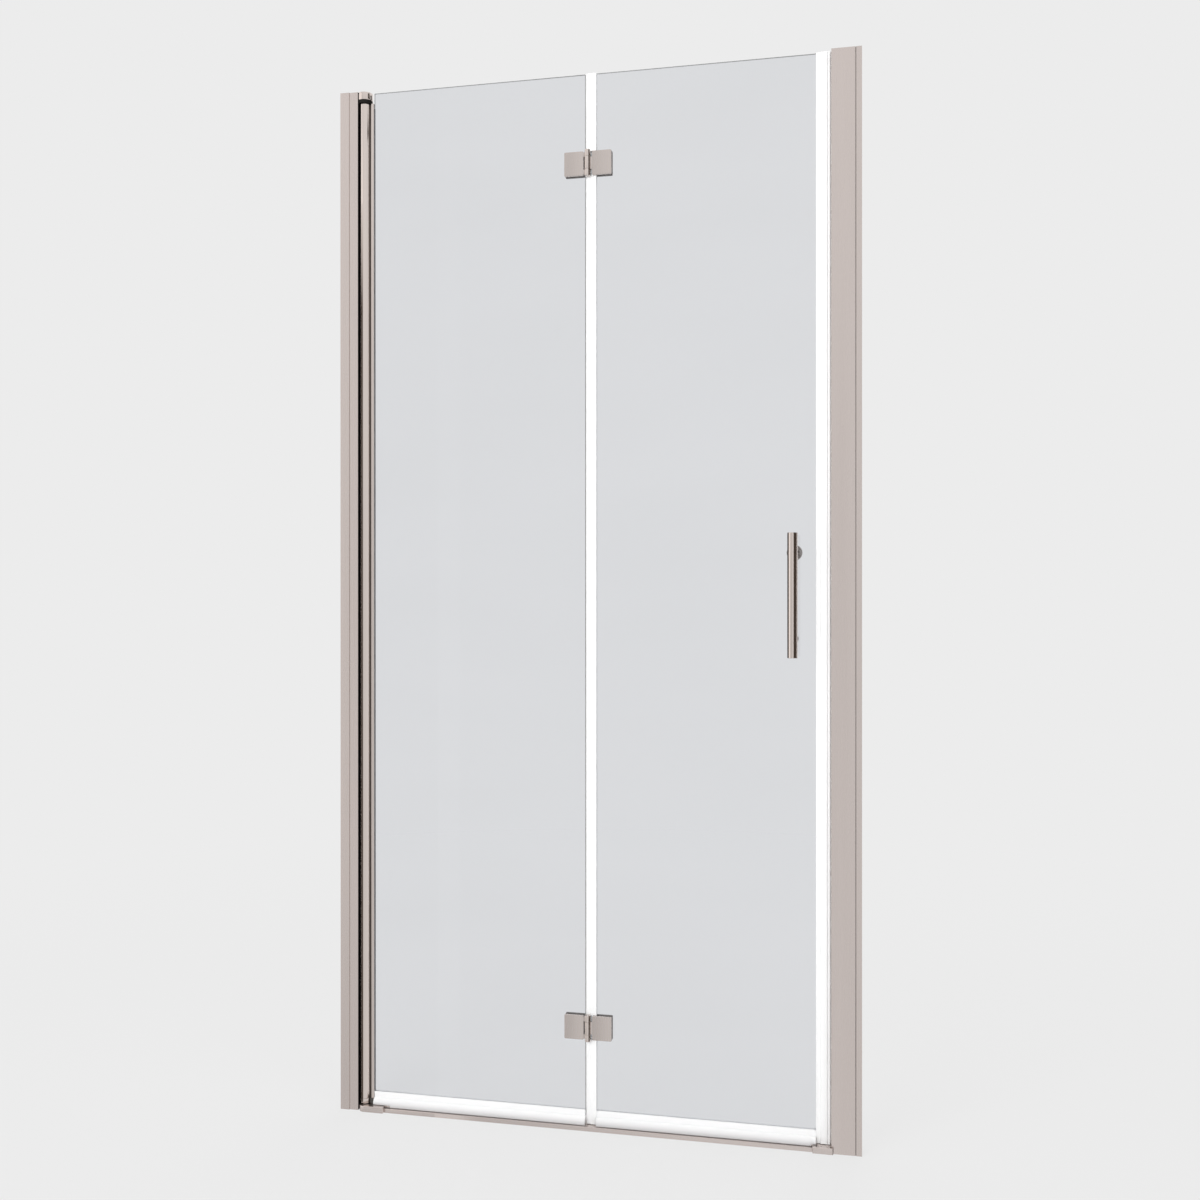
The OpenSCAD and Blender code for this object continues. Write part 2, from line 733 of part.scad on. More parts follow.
module lower_hinge_outer_leaf() {
    hinge_leaf(1, hinge_zs[0], centre_knuckle, hinge_pin_d / 2 + run_gap);
}

module upper_hinge_outer_leaf() {
    hinge_leaf(1, hinge_zs[1], centre_knuckle, hinge_pin_d / 2 + run_gap);
}

screw_head_r = 4.5;

// Revolved outline of a countersunk hinge screw, from its tip at 0 to its head at l
module hinge_screw(l) {
    rotate_extrude() polygon([[0, 0], [hinge_screw_r, 0], [hinge_screw_r, l - 2],
        [screw_head_r, l], [0, l]]);
}

// Rear plate of a hinge, with countersunk holes
module hinge_clamp(side, z) {
    color(nickel) translate([fold_x + side * plate_mid, 0, z]) difference() {
        sheet(plate_in_y, plate_out_y) round_plate_2d(hinge_plate_w, hinge_plate_h, 2);
        for (dz = hinge_screw_zs)
            translate([0, 0, dz]) {
                y_cylinder(hinge_screw_r, 0, plate_out_y);
                translate([0, plate_out_y - 2, 0]) rotate([-90, 0, 0])
                    cylinder(r1 = hinge_screw_r, r2 = screw_head_r, h = 2);
            }
    }
}

module lower_hinge_inner_clamp() {
    hinge_clamp(-1, hinge_zs[0]);
}

module upper_hinge_inner_clamp() {
    hinge_clamp(-1, hinge_zs[1]);
}

module lower_hinge_outer_clamp() {
    hinge_clamp(1, hinge_zs[0]);
}

module upper_hinge_outer_clamp() {
    hinge_clamp(1, hinge_zs[1]);
}

// Screws of one side of both hinges, from the rear plates into the front ones
module hinge_screws(side) {
    tip_y = -plate_in_y - hinge_plate_t * 0.6;
    color(steel) for (z = hinge_zs, dz = hinge_screw_zs)
        translate([fold_x + side * plate_mid, tip_y, z + dz]) rotate([-90, 0, 0])
            difference() {
                hinge_screw(plate_out_y - tip_y);
                translate([0, 0, plate_out_y - tip_y - 1.5]) cylinder(d = 3, h = 2, $fn = 6);
            }
}

module inner_hinge_screws() {
    hinge_screws(-1);
}

module outer_hinge_screws() {
    hinge_screws(1);
}

// Pads of one side: a thin plate on each face of the glass, with sleeves in its holes
module hinge_pads(side) {
    color(grey) for (z = hinge_zs, face = [-1, 1])
        translate([fold_x + side * plate_mid, 0, z]) difference() {
            union() {
                sheet(face * (half_glass + pad_t / 2) - pad_t / 2, face * (half_glass + pad_t / 2) + pad_t / 2)
                    round_plate_2d(hinge_plate_w - 1, hinge_plate_h - 1, 2);
                for (dz = hinge_screw_zs)
                    translate([0, 0, dz])
                        y_cylinder(pane_hole_r - touch_gap, face < 0 ? -half_glass - 0.1 : 0.1, half_glass);
            }
            for (dz = hinge_screw_zs)
                translate([0, 0, dz])
                    y_cylinder(hinge_screw_r + 0.1, -plate_out_y, 2 * plate_out_y);
        }
}

module inner_hinge_pads() {
    hinge_pads(-1);
}

module outer_hinge_pads() {
    hinge_pads(1);
}

module hinge_pins() {
    color(steel) for (z = hinge_zs)
        translate([fold_x, fold_y, z - barrel_l / 2 + 0.5]) cylinder(d = hinge_pin_d, h = barrel_l - 1);
}

spigot_r = 3.5; // part of a post that enters the bar

module handle_bar() {
    bevel = 0.6;
    r = handle_d / 2;
    color(nickel) difference() {
        translate([handle_x, -handle_out, glass_mid_z - handle_l / 2]) rotate_extrude()
            polygon([[0, 0], [r - bevel, 0], [r, bevel], [r, handle_l - bevel],
                [r - bevel, handle_l], [0, handle_l]]);
        for (z = handle_zs)
            translate([handle_x, 0, z]) y_cylinder(spigot_r, -handle_out, handle_d);
    }
}

// Posts from the bar to the glass: a spigot, a saddle round the bar and a stud hole
module handle_posts() {
    end_y = -half_glass - ring_t;
    color(nickel) for (z = handle_zs)
        translate([handle_x, 0, z]) difference() {
            union() {
                y_cylinder(spigot_r, -handle_out + 0.3, handle_out + end_y - 0.3);
                difference() {
                    y_cylinder(post_d / 2, -handle_out, handle_out + end_y);
                    translate([0, -handle_out, -post_d]) cylinder(d = handle_d, h = 2 * post_d);
                }
            }
            y_cylinder(stud_r, end_y - stud_in, stud_in + cut);
        }
}

// Clear rings on both faces of the glass, under the posts, the knob and the cap
module handle_rings() {
    color(pale_glass) for (z = handle_zs, y = [-half_glass - ring_t, half_glass])
        translate([handle_x, 0, z]) difference() {
            y_cylinder(post_d / 2, y, ring_t);
            y_cylinder(stud_r + 0.1, y - cut, ring_t + 2 * cut);
        }
}

knob_y = half_glass + ring_t;
knob_l = 22;
knob_hole = 10;
cap_l = 5;
cap_hole = 3;

module handle_studs() {
    y0 = -half_glass - ring_t - stud_in;
    color(steel) for (i = [0, 1])
        translate([handle_x, 0, handle_zs[i]])
            y_cylinder(stud_r, y0, knob_y + (i == 0 ? cap_hole : knob_hole) - y0);
}

// Knob inside the shower: a narrow neck that opens into a wide round head
module inside_knob() {
    r = knob_d / 2;
    color(nickel) translate([handle_x, knob_y, handle_zs[1]]) rotate([-90, 0, 0])
        difference() {
            rotate_extrude() polygon([[0, 0], [r * 0.62, 0], [r * 0.6, 3], [r * 0.5, 6], [r * 0.55, 9],
                [r - 1.5, knob_l - 9.5], [r, knob_l - 7.5], [r, knob_l - 2], [r - 1.5, knob_l], [0, knob_l]]);
            translate([0, 0, -cut]) cylinder(r = stud_r, h = knob_hole + cut);
        }
}

// Flat round cap inside the shower, behind the lower post
module inside_cap() {
    r = cap_d / 2;
    color(nickel) translate([handle_x, knob_y, handle_zs[0]]) rotate([-90, 0, 0])
        difference() {
            rotate_extrude() polygon([[0, 0], [r, 0], [r, cap_l - 1], [r - 1, cap_l], [0, cap_l]]);
            translate([0, 0, -cut]) cylinder(r = stud_r, h = cap_hole + cut);
        }
}

left_wall_channel();
right_wall_channel();
left_jamb();
right_jamb();
jamb_clamp_screws();
jamb_magnet_strip();
jamb_magnet();
threshold_bar();
threshold_end_cap();
pivot_foot();
top_pivot_bracket();
pivot_block_screws();
top_pivot_pin();
bottom_pivot_pin();
top_washer();
bottom_washer();
pivot_tube();
top_bush();
bottom_collar();
bottom_bush();
channel_end_plugs();
glazing_gasket();
inner_pane();
inner_sweep();
upper_hinge_inner_leaf();
lower_hinge_inner_leaf();
upper_hinge_inner_clamp();
lower_hinge_inner_clamp();
inner_hinge_pads();
inner_hinge_screws();
hinge_pins();
outer_pane();
outer_sweep();
fold_seal();
closing_seal();
leaf_magnet();
upper_hinge_outer_leaf();
lower_hinge_outer_leaf();
upper_hinge_outer_clamp();
lower_hinge_outer_clamp();
outer_hinge_pads();
outer_hinge_screws();
handle_bar();
handle_posts();
handle_studs();
handle_rings();
inside_knob();
inside_cap();
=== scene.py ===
import bmesh
import bpy
import numpy as np
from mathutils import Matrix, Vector
from mathutils.geometry import tessellate_polygon


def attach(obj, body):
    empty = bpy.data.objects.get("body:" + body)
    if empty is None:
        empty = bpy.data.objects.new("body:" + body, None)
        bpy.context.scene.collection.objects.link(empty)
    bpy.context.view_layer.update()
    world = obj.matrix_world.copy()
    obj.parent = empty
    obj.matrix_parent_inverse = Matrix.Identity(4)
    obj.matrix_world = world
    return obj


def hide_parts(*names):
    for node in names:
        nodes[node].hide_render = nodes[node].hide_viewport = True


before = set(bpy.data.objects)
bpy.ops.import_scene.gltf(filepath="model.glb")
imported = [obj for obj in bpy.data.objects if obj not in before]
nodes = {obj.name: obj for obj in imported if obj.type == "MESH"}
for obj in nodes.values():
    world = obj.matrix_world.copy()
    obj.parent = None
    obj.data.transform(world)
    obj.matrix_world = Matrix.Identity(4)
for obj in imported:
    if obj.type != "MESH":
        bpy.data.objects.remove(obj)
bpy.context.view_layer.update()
print("frame loaded:", len(nodes), "CAD nodes")

# Lengths in this file are millimetres until a mesh is made; angles are degrees.
millimetre = 0.001


def addObject(name, data):
    item = bpy.data.objects.new(name, data)
    bpy.context.scene.collection.objects.link(item)
    return item


# The camera, solved from the photograph
cameraFit = {
    "place": (0.50066, -2.24872, 0.97930),
    "turn": (89.952, 0.010, 12.152),
    "lens": 37.369,
    "sensor": 36.0,
}
cameraData = bpy.data.cameras.new("photoCamera")
cameraData.lens = cameraFit["lens"]
cameraData.sensor_width = cameraFit["sensor"]
camera = addObject("photoCamera", cameraData)
camera.location = cameraFit["place"]
camera.rotation_euler = np.radians(cameraFit["turn"])
bpy.context.scene.camera = camera


# Outlines: closed loops of points, the solid on their left
def outline(corners, turns=5):
    # Each corner (x, y, radius) becomes an arc that touches its two sides: its centre lies
    # on the bisector at radius / sin(half angle), and the arc runs from side to side.
    table = np.array(corners, float)
    point, radius = table[:, :2], table[:, 2:3]
    before = np.roll(point, 1, 0) - point
    after = np.roll(point, -1, 0) - point
    before /= np.linalg.norm(before, axis=1, keepdims=True)
    after /= np.linalg.norm(after, axis=1, keepdims=True)
    half = np.arccos(np.clip((before * after).sum(1, keepdims=True), -1, 1)) / 2
    bisector = before + after
    bisector /= np.linalg.norm(bisector, axis=1, keepdims=True)
    centre = point + bisector * radius / np.sin(half)
    start = point + before * radius / np.tan(half) - centre
    end = point + after * radius / np.tan(half) - centre
    angle = np.arctan2(start[:, 1], start[:, 0])
    sweep = (np.arctan2(end[:, 1], end[:, 0]) - angle + np.pi) % (2 * np.pi) - np.pi
    bend = angle[:, None] + sweep[:, None] * np.linspace(0, 1, turns)
    arc = centre[:, None] + radius[:, None] * np.stack([np.cos(bend), np.sin(bend)], 2)
    return cleanLoop(arc.reshape(-1, 2))


def cleanLoop(loop):
    # Keeps a point only where it is away from the one before it
    step = np.linalg.norm(loop - np.roll(loop, 1, 0), axis=1)
    return loop[step > 1e-6]


def arcLine(centre, radius, start, end, count):
    # centre + radius * (cos, sin) of an angle that runs from start to end
    angle = np.radians(np.linspace(start, end, count))
    return np.array(centre) + radius * np.stack([np.cos(angle), np.sin(angle)], 1)


def circle(centre, radius, count=96, hole=False):
    # A whole circle; a hole runs the other way round, so that the solid stays on its left
    angle = np.linspace(0, 2 * np.pi, count, endpoint=False) * (-1 if hole else 1)
    return np.array(centre) + radius * np.stack([np.cos(angle), np.sin(angle)], 1)


def rectangle(x0, y0, x1, y1, radius=0.0):
    return outline([(x0, y0, radius), (x1, y0, radius), (x1, y1, radius), (x0, y1, radius)])


def bothHalves(corners):
    # Corners (x, y, radius) in front, followed by the same ones behind, in turning order
    return corners + [(x, -y, r) for x, y, r in corners][::-1]


def inset(loop, depth):
    # Moves each point into the solid by depth along the mitre of its two sides
    side = np.roll(loop, -1, 0) - loop
    side /= np.linalg.norm(side, axis=1, keepdims=True)
    outward = np.stack([side[:, 1], -side[:, 0]], 1)
    previous = np.roll(outward, 1, 0)
    mitre = (outward + previous) / (1 + (outward * previous).sum(1, keepdims=True))
    return loop - depth * mitre


def roundEnds(start, end, edge, steps=4):
    # Stations (place along the path, inset) whose first and last edges are quarter rounds:
    # place = edge * (1 - cos t) and inset = edge * (1 - sin t) for t from 0 to 90 degrees
    if edge == 0:
        return np.array([(start, 0.0), (end, 0.0)])
    t = np.linspace(0, np.pi / 2, steps)
    place, depth = edge * (1 - np.cos(t)), edge * (1 - np.sin(t))
    first = np.stack([start + place, depth], 1)
    last = np.stack([end - place, depth], 1)[::-1]
    return np.concatenate([first, last])


# A shell is (points, quads, triangles). Its faces are turned outwards by its volume.
def outwards(points, quads, triangles):
    parts = [quads[:, [0, 1, 2]], quads[:, [0, 2, 3]], triangles]
    corner = points[np.concatenate(parts)]
    volume = (corner[:, 0] * np.cross(corner[:, 1], corner[:, 2])).sum()
    if volume < 0:
        quads, triangles = quads[:, ::-1], triangles[:, ::-1]
    return points, quads, triangles


def ringQuads(rows, count, closed=False):
    # Faces between rows of count points each; closed joins the last row to the first
    row, col = np.meshgrid(np.arange(rows if closed else rows - 1), np.arange(count), indexing="ij")
    beside, above = (col + 1) % count, (row + 1) % rows
    quads = [row * count + col, row * count + beside, above * count + beside, above * count + col]
    return np.stack(quads, 2).reshape(-1, 4)


def poleTriangles(rows, count):
    # Fans from two poles, which follow the rows in the list, to the first and the last row
    first = np.arange(count)
    following, top, pole = (first + 1) % count, (rows - 1) * count, np.full(count, rows * count)
    return np.concatenate([np.stack([pole, following, first], 1),
                           np.stack([pole + 1, top + first, top + following], 1)])


axisOrder = {"z": (0, 1, 2), "y": (0, 2, 1), "x": (2, 0, 1)}


def carry(loops, axis="z"):
    # Every loop is (outline, stations): the outline is carried along the axis, inset at each
    # station, and the two ends are filled between the outer loop and its holes.
    points, quads, ends, base = [], [], ([], []), 0
    for loop, stations in loops:
        count, rows = len(loop), len(stations)
        ring = np.stack([np.column_stack([inset(loop, depth), np.full(count, place)])
                         for place, depth in stations])
        points.append(ring.reshape(-1, 3))
        quads.append(base + ringQuads(rows, count))
        ends[0].append(np.arange(base, base + count))
        ends[1].append(np.arange(base + (rows - 1) * count, base + rows * count))
        base += rows * count
    points, quads = np.concatenate(points), np.concatenate(quads)
    triangles = []
    for end, sign in ((0, -1), (1, 1)):
        index = np.concatenate(ends[end])
        flat = [[Vector((x, y, 0)) for x, y in points[i, :2]] for i in ends[end]]
        face = index[np.array(tessellate_polygon(flat))]
        corner = points[face][:, :, :2]
        u, v = corner[:, 1] - corner[:, 0], corner[:, 2] - corner[:, 0]
        area = (u[:, 0] * v[:, 1] - u[:, 1] * v[:, 0]) * sign
        triangles.append(np.where(area[:, None] < 0, face[:, ::-1], face))
    return outwards(points[:, axisOrder[axis]], quads, np.concatenate(triangles))


def turn(profile, centre, axis="z", count=96, closed=False):
    # Surface of revolution: (radius, place) of the profile turned round the axis through
    # centre. An open profile starts and ends on the axis, where it closes in a pole.
    profile = np.array(profile, float)
    angle = np.linspace(0, 2 * np.pi, count, endpoint=False)
    body = profile if closed else profile[1:-1]
    ring = np.stack([body[:, :1] * np.cos(angle), body[:, :1] * np.sin(angle),
                     np.repeat(body[:, 1:], count, 1)], 2)
    points, triangles = ring.reshape(-1, 3), np.zeros((0, 3), int)
    if not closed:
        points = np.concatenate([points, [[0, 0, profile[0, 1]], [0, 0, profile[-1, 1]]]])
        triangles = poleTriangles(len(body), count)
    points = points[:, axisOrder[axis]] + np.array(centre, float)
    return outwards(points, ringQuads(len(body), count, closed), triangles)


def wear(mesh, material, second=None):
    # The pair second is another material and a test of face centres (mm) and normals that
    # says which faces wear it
    mesh.materials.clear()
    mesh.materials.append(material)
    if second:
        other, chosen = second
        mesh.materials.append(other)
        centre, normal = np.zeros((2, len(mesh.polygons) * 3))
        mesh.polygons.foreach_get("center", centre)
        mesh.polygons.foreach_get("normal", normal)
        mask = chosen(centre.reshape(-1, 3) / millimetre, normal.reshape(-1, 3))
        mesh.polygons.foreach_set("material_index", mask.astype(int))


def smooth(mesh, sharpAngle):
    mesh.polygons.foreach_set("use_smooth", np.ones(len(mesh.polygons), bool))
    mesh.set_sharp_from_angle(angle=np.radians(sharpAngle))


def makePiece(name, shells, material, body, replaced, sharpAngle=32, second=None):
    # Joins the shells into one mesh, in metres, at the origin
    points, faces, base = [], [], 0
    for shellPoints, quads, triangles in shells:
        points.append(shellPoints * millimetre)
        faces += (quads + base).tolist() + (triangles + base).tolist()
        base += len(shellPoints)
    mesh = bpy.data.meshes.new(name)
    mesh.from_pydata(np.concatenate(points), [], faces)
    smooth(mesh, sharpAngle)
    mesh.validate()
    wear(mesh, material, second)
    piece = addObject(name, mesh)
    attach(piece, body)
    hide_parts(*replaced)
    return piece


# Materials, all on object coordinates
def newMaterial(name):
    material = bpy.data.materials.new(name)
    material.use_nodes = True
    tree = material.node_tree
    return material, tree, tree.nodes["Principled BSDF"]


def patternNoise(tree, scale, detail=4.0, roughness=0.6, seed=(0, 0, 0)):
    # Noise on object coordinates, stretched by a different scale on each axis
    where = tree.nodes.new("ShaderNodeTexCoord")
    mapping = tree.nodes.new("ShaderNodeMapping")
    mapping.inputs["Scale"].default_value = scale
    mapping.inputs["Location"].default_value = seed
    noise = tree.nodes.new("ShaderNodeTexNoise")
    noise.inputs["Scale"].default_value = 1.0
    noise.inputs["Detail"].default_value = detail
    noise.inputs["Roughness"].default_value = roughness
    tree.links.new(where.outputs["Object"], mapping.inputs["Vector"])
    tree.links.new(mapping.outputs["Vector"], noise.inputs["Vector"])
    return noise.outputs["Fac"]


def mapRange(tree, source, start, end=(0.0, 1.0), soft=False):
    # Carries a value from the range start to the range end
    ranger = tree.nodes.new("ShaderNodeMapRange")
    if soft:
        ranger.interpolation_type = "SMOOTHSTEP"
    for name, value in zip(("From Min", "From Max", "To Min", "To Max"), (*start, *end)):
        ranger.inputs[name].default_value = value
    tree.links.new(source, ranger.inputs["Value"])
    return ranger.outputs["Result"]


def spread(tree, source, low, high):
    # Most of the noise lies between 0.3 and 0.7
    return mapRange(tree, source, (0.3, 0.7), (low, high))


def splitPlace(tree, kind="Object"):
    # The X, Y and Z of a place, as three outputs
    where = tree.nodes.new("ShaderNodeTexCoord")
    split = tree.nodes.new("ShaderNodeSeparateXYZ")
    tree.links.new(where.outputs[kind], split.inputs[0])
    return split.outputs


def mixColour(tree, source, dark, light):
    mixer = tree.nodes.new("ShaderNodeMix")
    mixer.data_type = "RGBA"
    mixer.inputs["A"].default_value = (*dark, 1)
    mixer.inputs["B"].default_value = (*light, 1)
    tree.links.new(source, mixer.inputs["Factor"])
    return mixer.outputs["Result"]


def addBump(tree, shader, source, strength, distance):
    bump = tree.nodes.new("ShaderNodeBump")
    bump.inputs["Strength"].default_value = strength
    bump.inputs["Distance"].default_value = distance
    tree.links.new(source, bump.inputs["Height"])
    tree.links.new(bump.outputs["Normal"], shader.inputs["Normal"])


# Satin nickel: fine brush lines along the profile, a slow change of tone and of gloss.
# Flat profiles are more satin than the drawn tube, the bar and the barrels.
nickelLook = {
    "dark": (0.624, 0.556, 0.528),
    "light": (0.650, 0.580, 0.552),
    "roughness": (0.22, 0.29),
    "brushAcross": 1400.0,
    "brushAlong": 9.0,
    "toneAcross": 26.0,
    "toneAlong": 0.7,
    "bumpStrength": 0.14,
    "bumpDistance": 0.00002,
}
roundLook = {**nickelLook, "dark": (0.640, 0.568, 0.530), "light": (0.672, 0.598, 0.560), "roughness": (0.11, 0.16),
             "bumpStrength": 0.08}
# Painted shade: the hinge plates wear a darker copy of the satin nickel, for the dimmer light on them than on the
# jambs
shadedPlateLook = {**nickelLook, "dark": (0.588, 0.528, 0.500), "light": (0.612, 0.552, 0.522)}


def satinNickel(name, along="z", look=nickelLook):
    material, tree, shader = newMaterial(name)
    across, length = look["brushAcross"], look["brushAlong"]
    brush = patternNoise(tree, [length if letter == along else across for letter in "xyz"], detail=3.0)
    wide, slow = look["toneAcross"], look["toneAlong"]
    scale = [slow if letter == along else wide for letter in "xyz"]
    tone = patternNoise(tree, scale, detail=2.0, seed=(3.1, 1.7, 0.4))
    shader.inputs["Metallic"].default_value = 1.0
    colour = mixColour(tree, spread(tree, tone, 0, 1), look["dark"], look["light"])
    tree.links.new(colour, shader.inputs["Base Color"])
    tree.links.new(spread(tree, brush, *look["roughness"]), shader.inputs["Roughness"])
    addBump(tree, shader, brush, look["bumpStrength"], look["bumpDistance"])
    return material


def plainMetal(name, dark, light, roughness, scale=220.0):
    material, tree, shader = newMaterial(name)
    grain = patternNoise(tree, (scale,) * 3, detail=4.0)
    shader.inputs["Metallic"].default_value = 1.0
    tree.links.new(mixColour(tree, spread(tree, grain, 0, 1), dark, light), shader.inputs["Base Color"])
    tree.links.new(spread(tree, grain, *roughness), shader.inputs["Roughness"])
    addBump(tree, shader, grain, 0.15, 0.00002)
    return material


def moulded(name, dark, light, roughness, grainScale=900.0, bump=0.1, clear=0.0, gloss=0.5):
    # Plastic or rubber: a fine moulded grain and a slow change of tone
    material, tree, shader = newMaterial(name)
    grain = patternNoise(tree, (grainScale,) * 3, detail=2.0)
    tone = patternNoise(tree, (9.0,) * 3, detail=2.0, seed=(0.7, 2.9, 1.3))
    tree.links.new(mixColour(tree, spread(tree, tone, 0, 1), dark, light), shader.inputs["Base Color"])
    tree.links.new(spread(tree, grain, *roughness), shader.inputs["Roughness"])
    shader.inputs["Transmission Weight"].default_value = clear
    shader.inputs["Specular IOR Level"].default_value = gloss
    addBump(tree, shader, grain, bump, 0.00003)
    return material


def clearGlass(name, dark, light, waviness):
    # Toughened glass: a faint slow waviness from the furnace and a pale tint
    material, tree, shader = newMaterial(name)
    roll = patternNoise(tree, (2.0, 2.0, 7.0), detail=1.0)
    tree.links.new(mixColour(tree, spread(tree, roll, 0, 1), dark, light), shader.inputs["Base Color"])
    shader.inputs["Transmission Weight"].default_value = 1.0
    shader.inputs["Roughness"].default_value = 0.0
    shader.inputs["IOR"].default_value = 1.5
    addBump(tree, shader, roll, waviness, 0.0005)
    return material


nickelUp = satinNickel("satinNickelUpright", "z")
nickelLevel = satinNickel("satinNickelLevel", "x")
nickelRound = satinNickel("drawnNickel", "z", roundLook)
nickelPlate = satinNickel("satinNickelPlate", "z", shadedPlateLook)
steelFinish = plainMetal("turnedSteel", (0.50, 0.50, 0.51), (0.60, 0.60, 0.61), (0.22, 0.34))
glassFinish = clearGlass("toughenedGlass", (0.820, 0.831, 0.853), (0.834, 0.844, 0.867), 0.05)
edgeFinish = clearGlass("groundGlassEdge", (0.36, 0.365, 0.36), (0.46, 0.465, 0.46), 0.3)
ringFinish = moulded("clearPlastic", (0.86, 0.88, 0.90), (0.90, 0.92, 0.94), (0.05, 0.12), clear=0.9)
sealFinish = moulded("whiteVinyl", (0.965, 0.965, 0.965), (0.985, 0.985, 0.985), (0.42, 0.55), 500.0, 0.06)
sweepFinish = moulded("sweepVinyl", (0.93, 0.93, 0.93), (0.96, 0.96, 0.96), (0.42, 0.55), 500.0, 0.06)
# The grey of the lips' tips is painted shade
lipShadeRamp = {"low": 0.0085, "high": 0.026, "grey": (0.64, 0.627, 0.63), "white": (0.97, 0.97, 0.97),
           "soft": 0.15, "depth": 0.003}


def paintLipShade(material, s):
    # The soft vinyl gets thinner towards the tips of the lips, and is painted greyer there by a ramp on height:
    # painted shade where the lips turn under
    tree = material.node_tree
    shader = tree.nodes["Principled BSDF"]
    ramp = mapRange(tree, splitPlace(tree)["Z"], (s["low"], s["high"]), soft=True)
    tree.links.new(mixColour(tree, ramp, s["grey"], s["white"]), shader.inputs["Base Color"])
    shader.inputs["Subsurface Weight"].default_value = s["soft"]
    shader.inputs["Subsurface Radius"].default_value = (1.0, 0.95, 0.9)
    shader.inputs["Subsurface Scale"].default_value = s["depth"]


paintLipShade(sweepFinish, lipShadeRamp)
gasketFinish = moulded("greyRubber", (0.32, 0.32, 0.325), (0.39, 0.39, 0.395), (0.55, 0.7), 1100.0, 0.12)
# Painted shade: the narrow sides of the clamp plates are painted near black for the shade on their undersides
plateEdgeShade = plainMetal("paintedShadePlateEdge", (0.045, 0.041, 0.037), (0.065, 0.059, 0.054), (0.3, 0.4))
# Painted shade: the neck between the pivot tube and its glass channel is painted dark for the shade in that recess
grooveShade = plainMetal("shadedGroove", (0.20, 0.175, 0.16), (0.25, 0.22, 0.20), (0.4, 0.5))
# Black nylon for washers, bushes and pads; in the wall profiles the same black is painted shade in the tube's seat
# and the right joint
nylonBlackAndPaintedShade = moulded("nylonBlackAndShade", (0.010, 0.009, 0.008), (0.016, 0.014, 0.013), (0.5, 0.65), 1000.0, gloss=0.15)
plugFinish = moulded("darkNylon", (0.060, 0.054, 0.050), (0.085, 0.078, 0.072), (0.45, 0.6), 1000.0, 0.1)
# Painted shade: the inside knob's nickel is painted much darker than the rest, for the shade on its face behind the
# glass
shadedKnobNickel = plainMetal("shadedTurnedNickel", (0.34, 0.31, 0.29), (0.40, 0.365, 0.34), (0.25, 0.36))
magnetFinish = moulded("magnetRubber", (0.045, 0.042, 0.040), (0.06, 0.056, 0.053), (0.6, 0.75), 1300.0, 0.15)
print("materials made")

# Named places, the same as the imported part's
pivot = {"x": -445.5, "tube": 11.5, "bore": 8.5, "foot": 22.0, "top": 1929.0}
fold = {"x": -5.0, "y": -9.5, "heights": (188.0, 1783.0)}


def at(loop, x=0.0, y=0.0):
    return loop + np.array([x, y])


# The pivot tube, with the channel that holds the glass
tubeShape = {"neck": 2.6, "web": 12.1, "webHalf": 3.3, "slot": 13.1, "armStart": 14.5, "armInner": 4.0,
             "armOuter": 5.2, "armEnd": 19.5, "edge": 0.25, "grooveX": (10.9, 14.3), "grooveY": (2.3, 5.15)}


def tubeOutline(shape):
    # A circle that runs out through a narrow neck into a U channel for the glass
    join = np.degrees(np.arcsin(shape["neck"] / pivot["tube"]))
    arms = outline(bothHalves([
        (9.0, -shape["neck"], 0), (shape["web"], -shape["neck"], 0.15), (shape["web"], -shape["webHalf"], 0.2),
        (shape["armStart"], -shape["armOuter"], 0.5), (shape["armEnd"], -shape["armOuter"], 0.45),
        (shape["armEnd"], -shape["armInner"], 0.3), (shape["slot"], -shape["armInner"], 0.2)]))
    arms = arms[arms[:, 0] > pivot["tube"]]  # the two corners inside the tube drop out
    first = np.argmin(np.linalg.norm(arms - [pivot["tube"], -shape["neck"]], axis=1))
    arms = np.roll(arms, -first, 0)
    return cleanLoop(np.concatenate([arms, arcLine((0, 0), pivot["tube"], join, 360 - join, 120)]))


def between(value, limits):
    return (value > limits[0]) & (value < limits[1])


def inGroove(centre, normal):
    # The faces of the neck and the narrow faces beside it, but not the ends of the tube
    inX = between(centre[:, 0] - pivot["x"], tubeShape["grooveX"])
    return inX & between(np.abs(centre[:, 1]), tubeShape["grooveY"]) & (np.abs(normal[:, 2]) < 0.5)


tubeStations = roundEnds(pivot["foot"], pivot["top"], tubeShape["edge"])
makePiece("pivotTube", [carry([
    (at(tubeOutline(tubeShape), pivot["x"]), tubeStations),
    (circle((pivot["x"], 0), pivot["bore"], 64, hole=True), tubeStations)])],
    nickelRound, "inner_leaf", ["pivot_tube"], second=(grooveShade, inGroove))

# What holds the tube at its two ends
bracketShape = {"radius": 15.0, "nest": 12.2, "lip": -9.3, "bottom": 1935.5, "top": 1950.0, "edge": 0.9}


def bracketOutline(shape):
    # A wide arc in front of the jamb and a narrower one in its seat, joined by two steps
    wide = np.degrees(np.arccos(shape["lip"] / shape["radius"]))
    narrow = np.degrees(np.arccos(shape["lip"] / shape["nest"]))
    return np.concatenate([arcLine((0, 0), shape["radius"], -wide, wide, 97),
                           arcLine((0, 0), shape["nest"], narrow, 360 - narrow, 41)])


makePiece("topPivotBracket", [carry([
    (at(bracketOutline(bracketShape), pivot["x"]),
     roundEnds(bracketShape["bottom"], bracketShape["top"], bracketShape["edge"]))])],
    nickelRound, "frame", ["top_pivot_bracket"])

